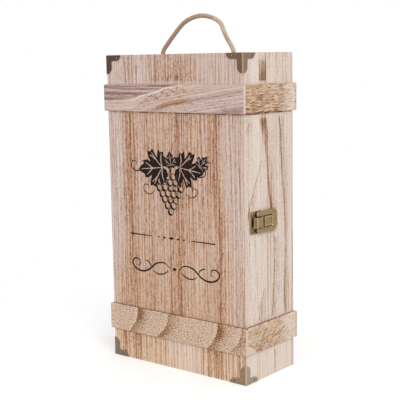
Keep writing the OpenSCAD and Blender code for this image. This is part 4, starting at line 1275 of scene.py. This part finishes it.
def ribbon(line, widths):
    """The two sides of a stroke along a line, with its width at each of the line's points."""
    line = np.array(line, float)
    ahead = np.gradient(line, axis=0)
    ahead /= np.linalg.norm(ahead, axis=1)[:, None]
    side = np.stack([-ahead[:, 1], ahead[:, 0]], axis=1) * (np.array(widths) / 2)[:, None]
    return line + side, line - side


def stroke(points, width):
    """A pen stroke, widest in its middle and thin at both ends."""
    line = spline_points([(x, 0, z) for x, z in points], STROKE_POINTS)[:, [0, 2]]
    share = np.linspace(0, 1, len(line))
    return ribbon(line, width * (STROKE_THIN + (1 - STROKE_THIN) * np.sin(math.pi * share) ** 0.7))


def bunch():
    """Grapes that overlap: each one's rim and its shaded side, where no other hides them."""
    rng = np.random.default_rng(12)
    grapes = []
    for row, count in enumerate(GRAPE_ROWS):
        for i in range(count):
            middle = (GRAPE_X + (i - (count - 1) / 2) * GRAPE_ACROSS, GRAPE_TOP - row * GRAPE_DOWN)
            grapes.append(np.array(middle) + rng.uniform(-0.5, 0.5, 2))
    order = rng.permutation(len(grapes))
    strokes = []
    for place, index in enumerate(order):
        hiders = [grapes[k] for k in order[:place]]
        for radius, start, turn, least, most in GRAPE_ARCS:
            run = []
            for i in range(ARC_POINTS):
                share = i / (ARC_POINTS - 1)
                angle = math.radians(start + turn * share)
                point = grapes[index] + radius * np.array((math.cos(angle), math.sin(angle)))
                shown = all(np.linalg.norm(point - other) > GRAPE_R for other in hiders)
                if shown:
                    run.append((point, max(least, most * math.sin(math.pi * share))))
                if (not shown or i == ARC_POINTS - 1) and len(run) > 3:
                    strokes.append(ribbon([p for p, _ in run], [w for _, w in run]))
                if not shown:
                    run = []
    return strokes


def placed(points, foot_x, foot_z, angle, length):
    """A leaf's own points where the leaf grows."""
    c, d = math.cos(math.radians(angle)), math.sin(math.radians(angle))
    return [(foot_x + length * (u * c - v * d), foot_z + length * (u * d + v * c)) for u, v in points]


def make_ornament():
    """A bunch of grapes on its vine, a rule with diamonds and a scroll."""
    outlines, strokes, veins = [], bunch(), []
    for leaf in LEAVES:
        outlines.append(placed(LEAF + [(-u, v) for u, v in LEAF[-2:0:-1]], *leaf))
        for points in LEAF_VEINS:
            for mirror in (1, -1):
                if mirror == 1 or points[1][0]:
                    line = placed([(mirror * u, v) for u, v in points], *leaf)
                    veins.append(stroke(line, leaf[3] * VEIN_WIDTH))
    for x, z, half, high in DIAMONDS:
        outlines.append([(x - half, z), (x, z - high / 2), (x + half, z), (x, z + high / 2)])
    strokes += [stroke(points, width) for points, width in VINE]
    strokes += [ribbon(line, [width, width * 0.6]) for line, width in RULES]
    for points, width in FLOURISH:
        for mirror in (1, -1):
            strokes.append(stroke([(FLOURISH_X + mirror * (x - FLOURISH_X), z) for x, z in points], width))
    slabs("front_ornament", outlines, strokes, INK_RISE, ink("ink"))
    slabs("front_ornament_veins", [], veins, INK_RISE + VEIN_RISE, front_wood)


make_ornament()

# Stage

# Round lights: where each is, what it points at, diameter and power
LIGHTS = {
    "key": ((1.6, -1.1, 1.5), (0, 0, 0.18), 1.2, 26.0),
    "fill": ((-1.2, -1.8, 0.9), (0, 0, 0.18), 1.6, 9.0),
    "top": ((0.1, 0.2, 2.2), (0, 0, 0.2), 1.4, 10.0),
}
WORLD_DIFFUSE = 0.55
FLOOR_HALF = 6
FLOOR_COLOUR = 0.8
FLOOR_GLOW = 0.27
# How far from the middle, in millimetres, the floor begins to turn white and is white
FLOOR_FADE = (100.0, 420.0)


def seen_directly(tree):
    """1 for rays from the camera, from glossy surfaces and through glass."""
    path = tree.nodes.new("ShaderNodeLightPath")
    total = path.outputs["Is Camera Ray"]
    for name in ("Is Glossy Ray", "Is Transmission Ray"):
        add = tree.nodes.new("ShaderNodeMath")
        add.operation, add.use_clamp = "MAXIMUM", True
        tree.links.new(total, add.inputs[0])
        tree.links.new(path.outputs[name], add.inputs[1])
        total = add.outputs[0]
    return total


def make_world():
    """White for what sees it directly, and a soft grey light on everything else."""
    world = bpy.data.worlds.new("world")
    bpy.context.scene.world = world
    world.use_nodes = True
    tree = world.node_tree
    background = tree.nodes["Background"]
    background.inputs["Color"].default_value = (1, 1, 1, 1)
    strength = tree.nodes.new("ShaderNodeMapRange")
    strength.inputs["To Min"].default_value = WORLD_DIFFUSE
    strength.inputs["To Max"].default_value = 1.0
    tree.links.new(seen_directly(tree), strength.inputs["Value"])
    tree.links.new(strength.outputs[0], background.inputs["Strength"])


def make_floor():
    """A plain pale floor with the soft shadow on it, which melts into the white background."""
    work = bmesh.new()
    bmesh.ops.create_grid(work, x_segments=1, y_segments=1, size=FLOOR_HALF)
    floor = link_mesh("floor", mesh_of("floor", work, outwards=False), False)
    s = Shader("floor")
    x, y, z = s.millimetres()
    seen = Wire(s, seen_directly(s.tree))
    away = s.math("SQRT", x * x + y * y)
    diffuse = s.node("BsdfDiffuse", {"Color": (*[FLOOR_COLOUR] * 3, 1)})
    near = s.node("Emission", {"Color": (1, 1, 1, 1), "Strength": seen * FLOOR_GLOW})
    far = s.node("Emission", {"Color": (1, 1, 1, 1), "Strength": 1.0})
    lit = s.node("AddShader", {0: diffuse, 1: near})
    whole = s.node("MixShader", {0: seen * s.ramp(away, *FLOOR_FADE), 1: lit, 2: far})
    s.node("OutputMaterial", {"Surface": whole})
    floor.data.materials.append(s.material)


make_world()
make_floor()
for light, (at, towards, size, power) in LIGHTS.items():
    data = bpy.data.lights.new(light, "AREA")
    data.shape, data.size, data.energy = "DISK", size, power
    lamp = bpy.data.objects.new(light, data)
    lamp.location = at
    lamp.rotation_euler = (Vector(towards) - Vector(at)).to_track_quat("-Z", "Y").to_euler()
    bpy.context.scene.collection.objects.link(lamp)
bpy.context.scene.view_settings.view_transform = "Standard"
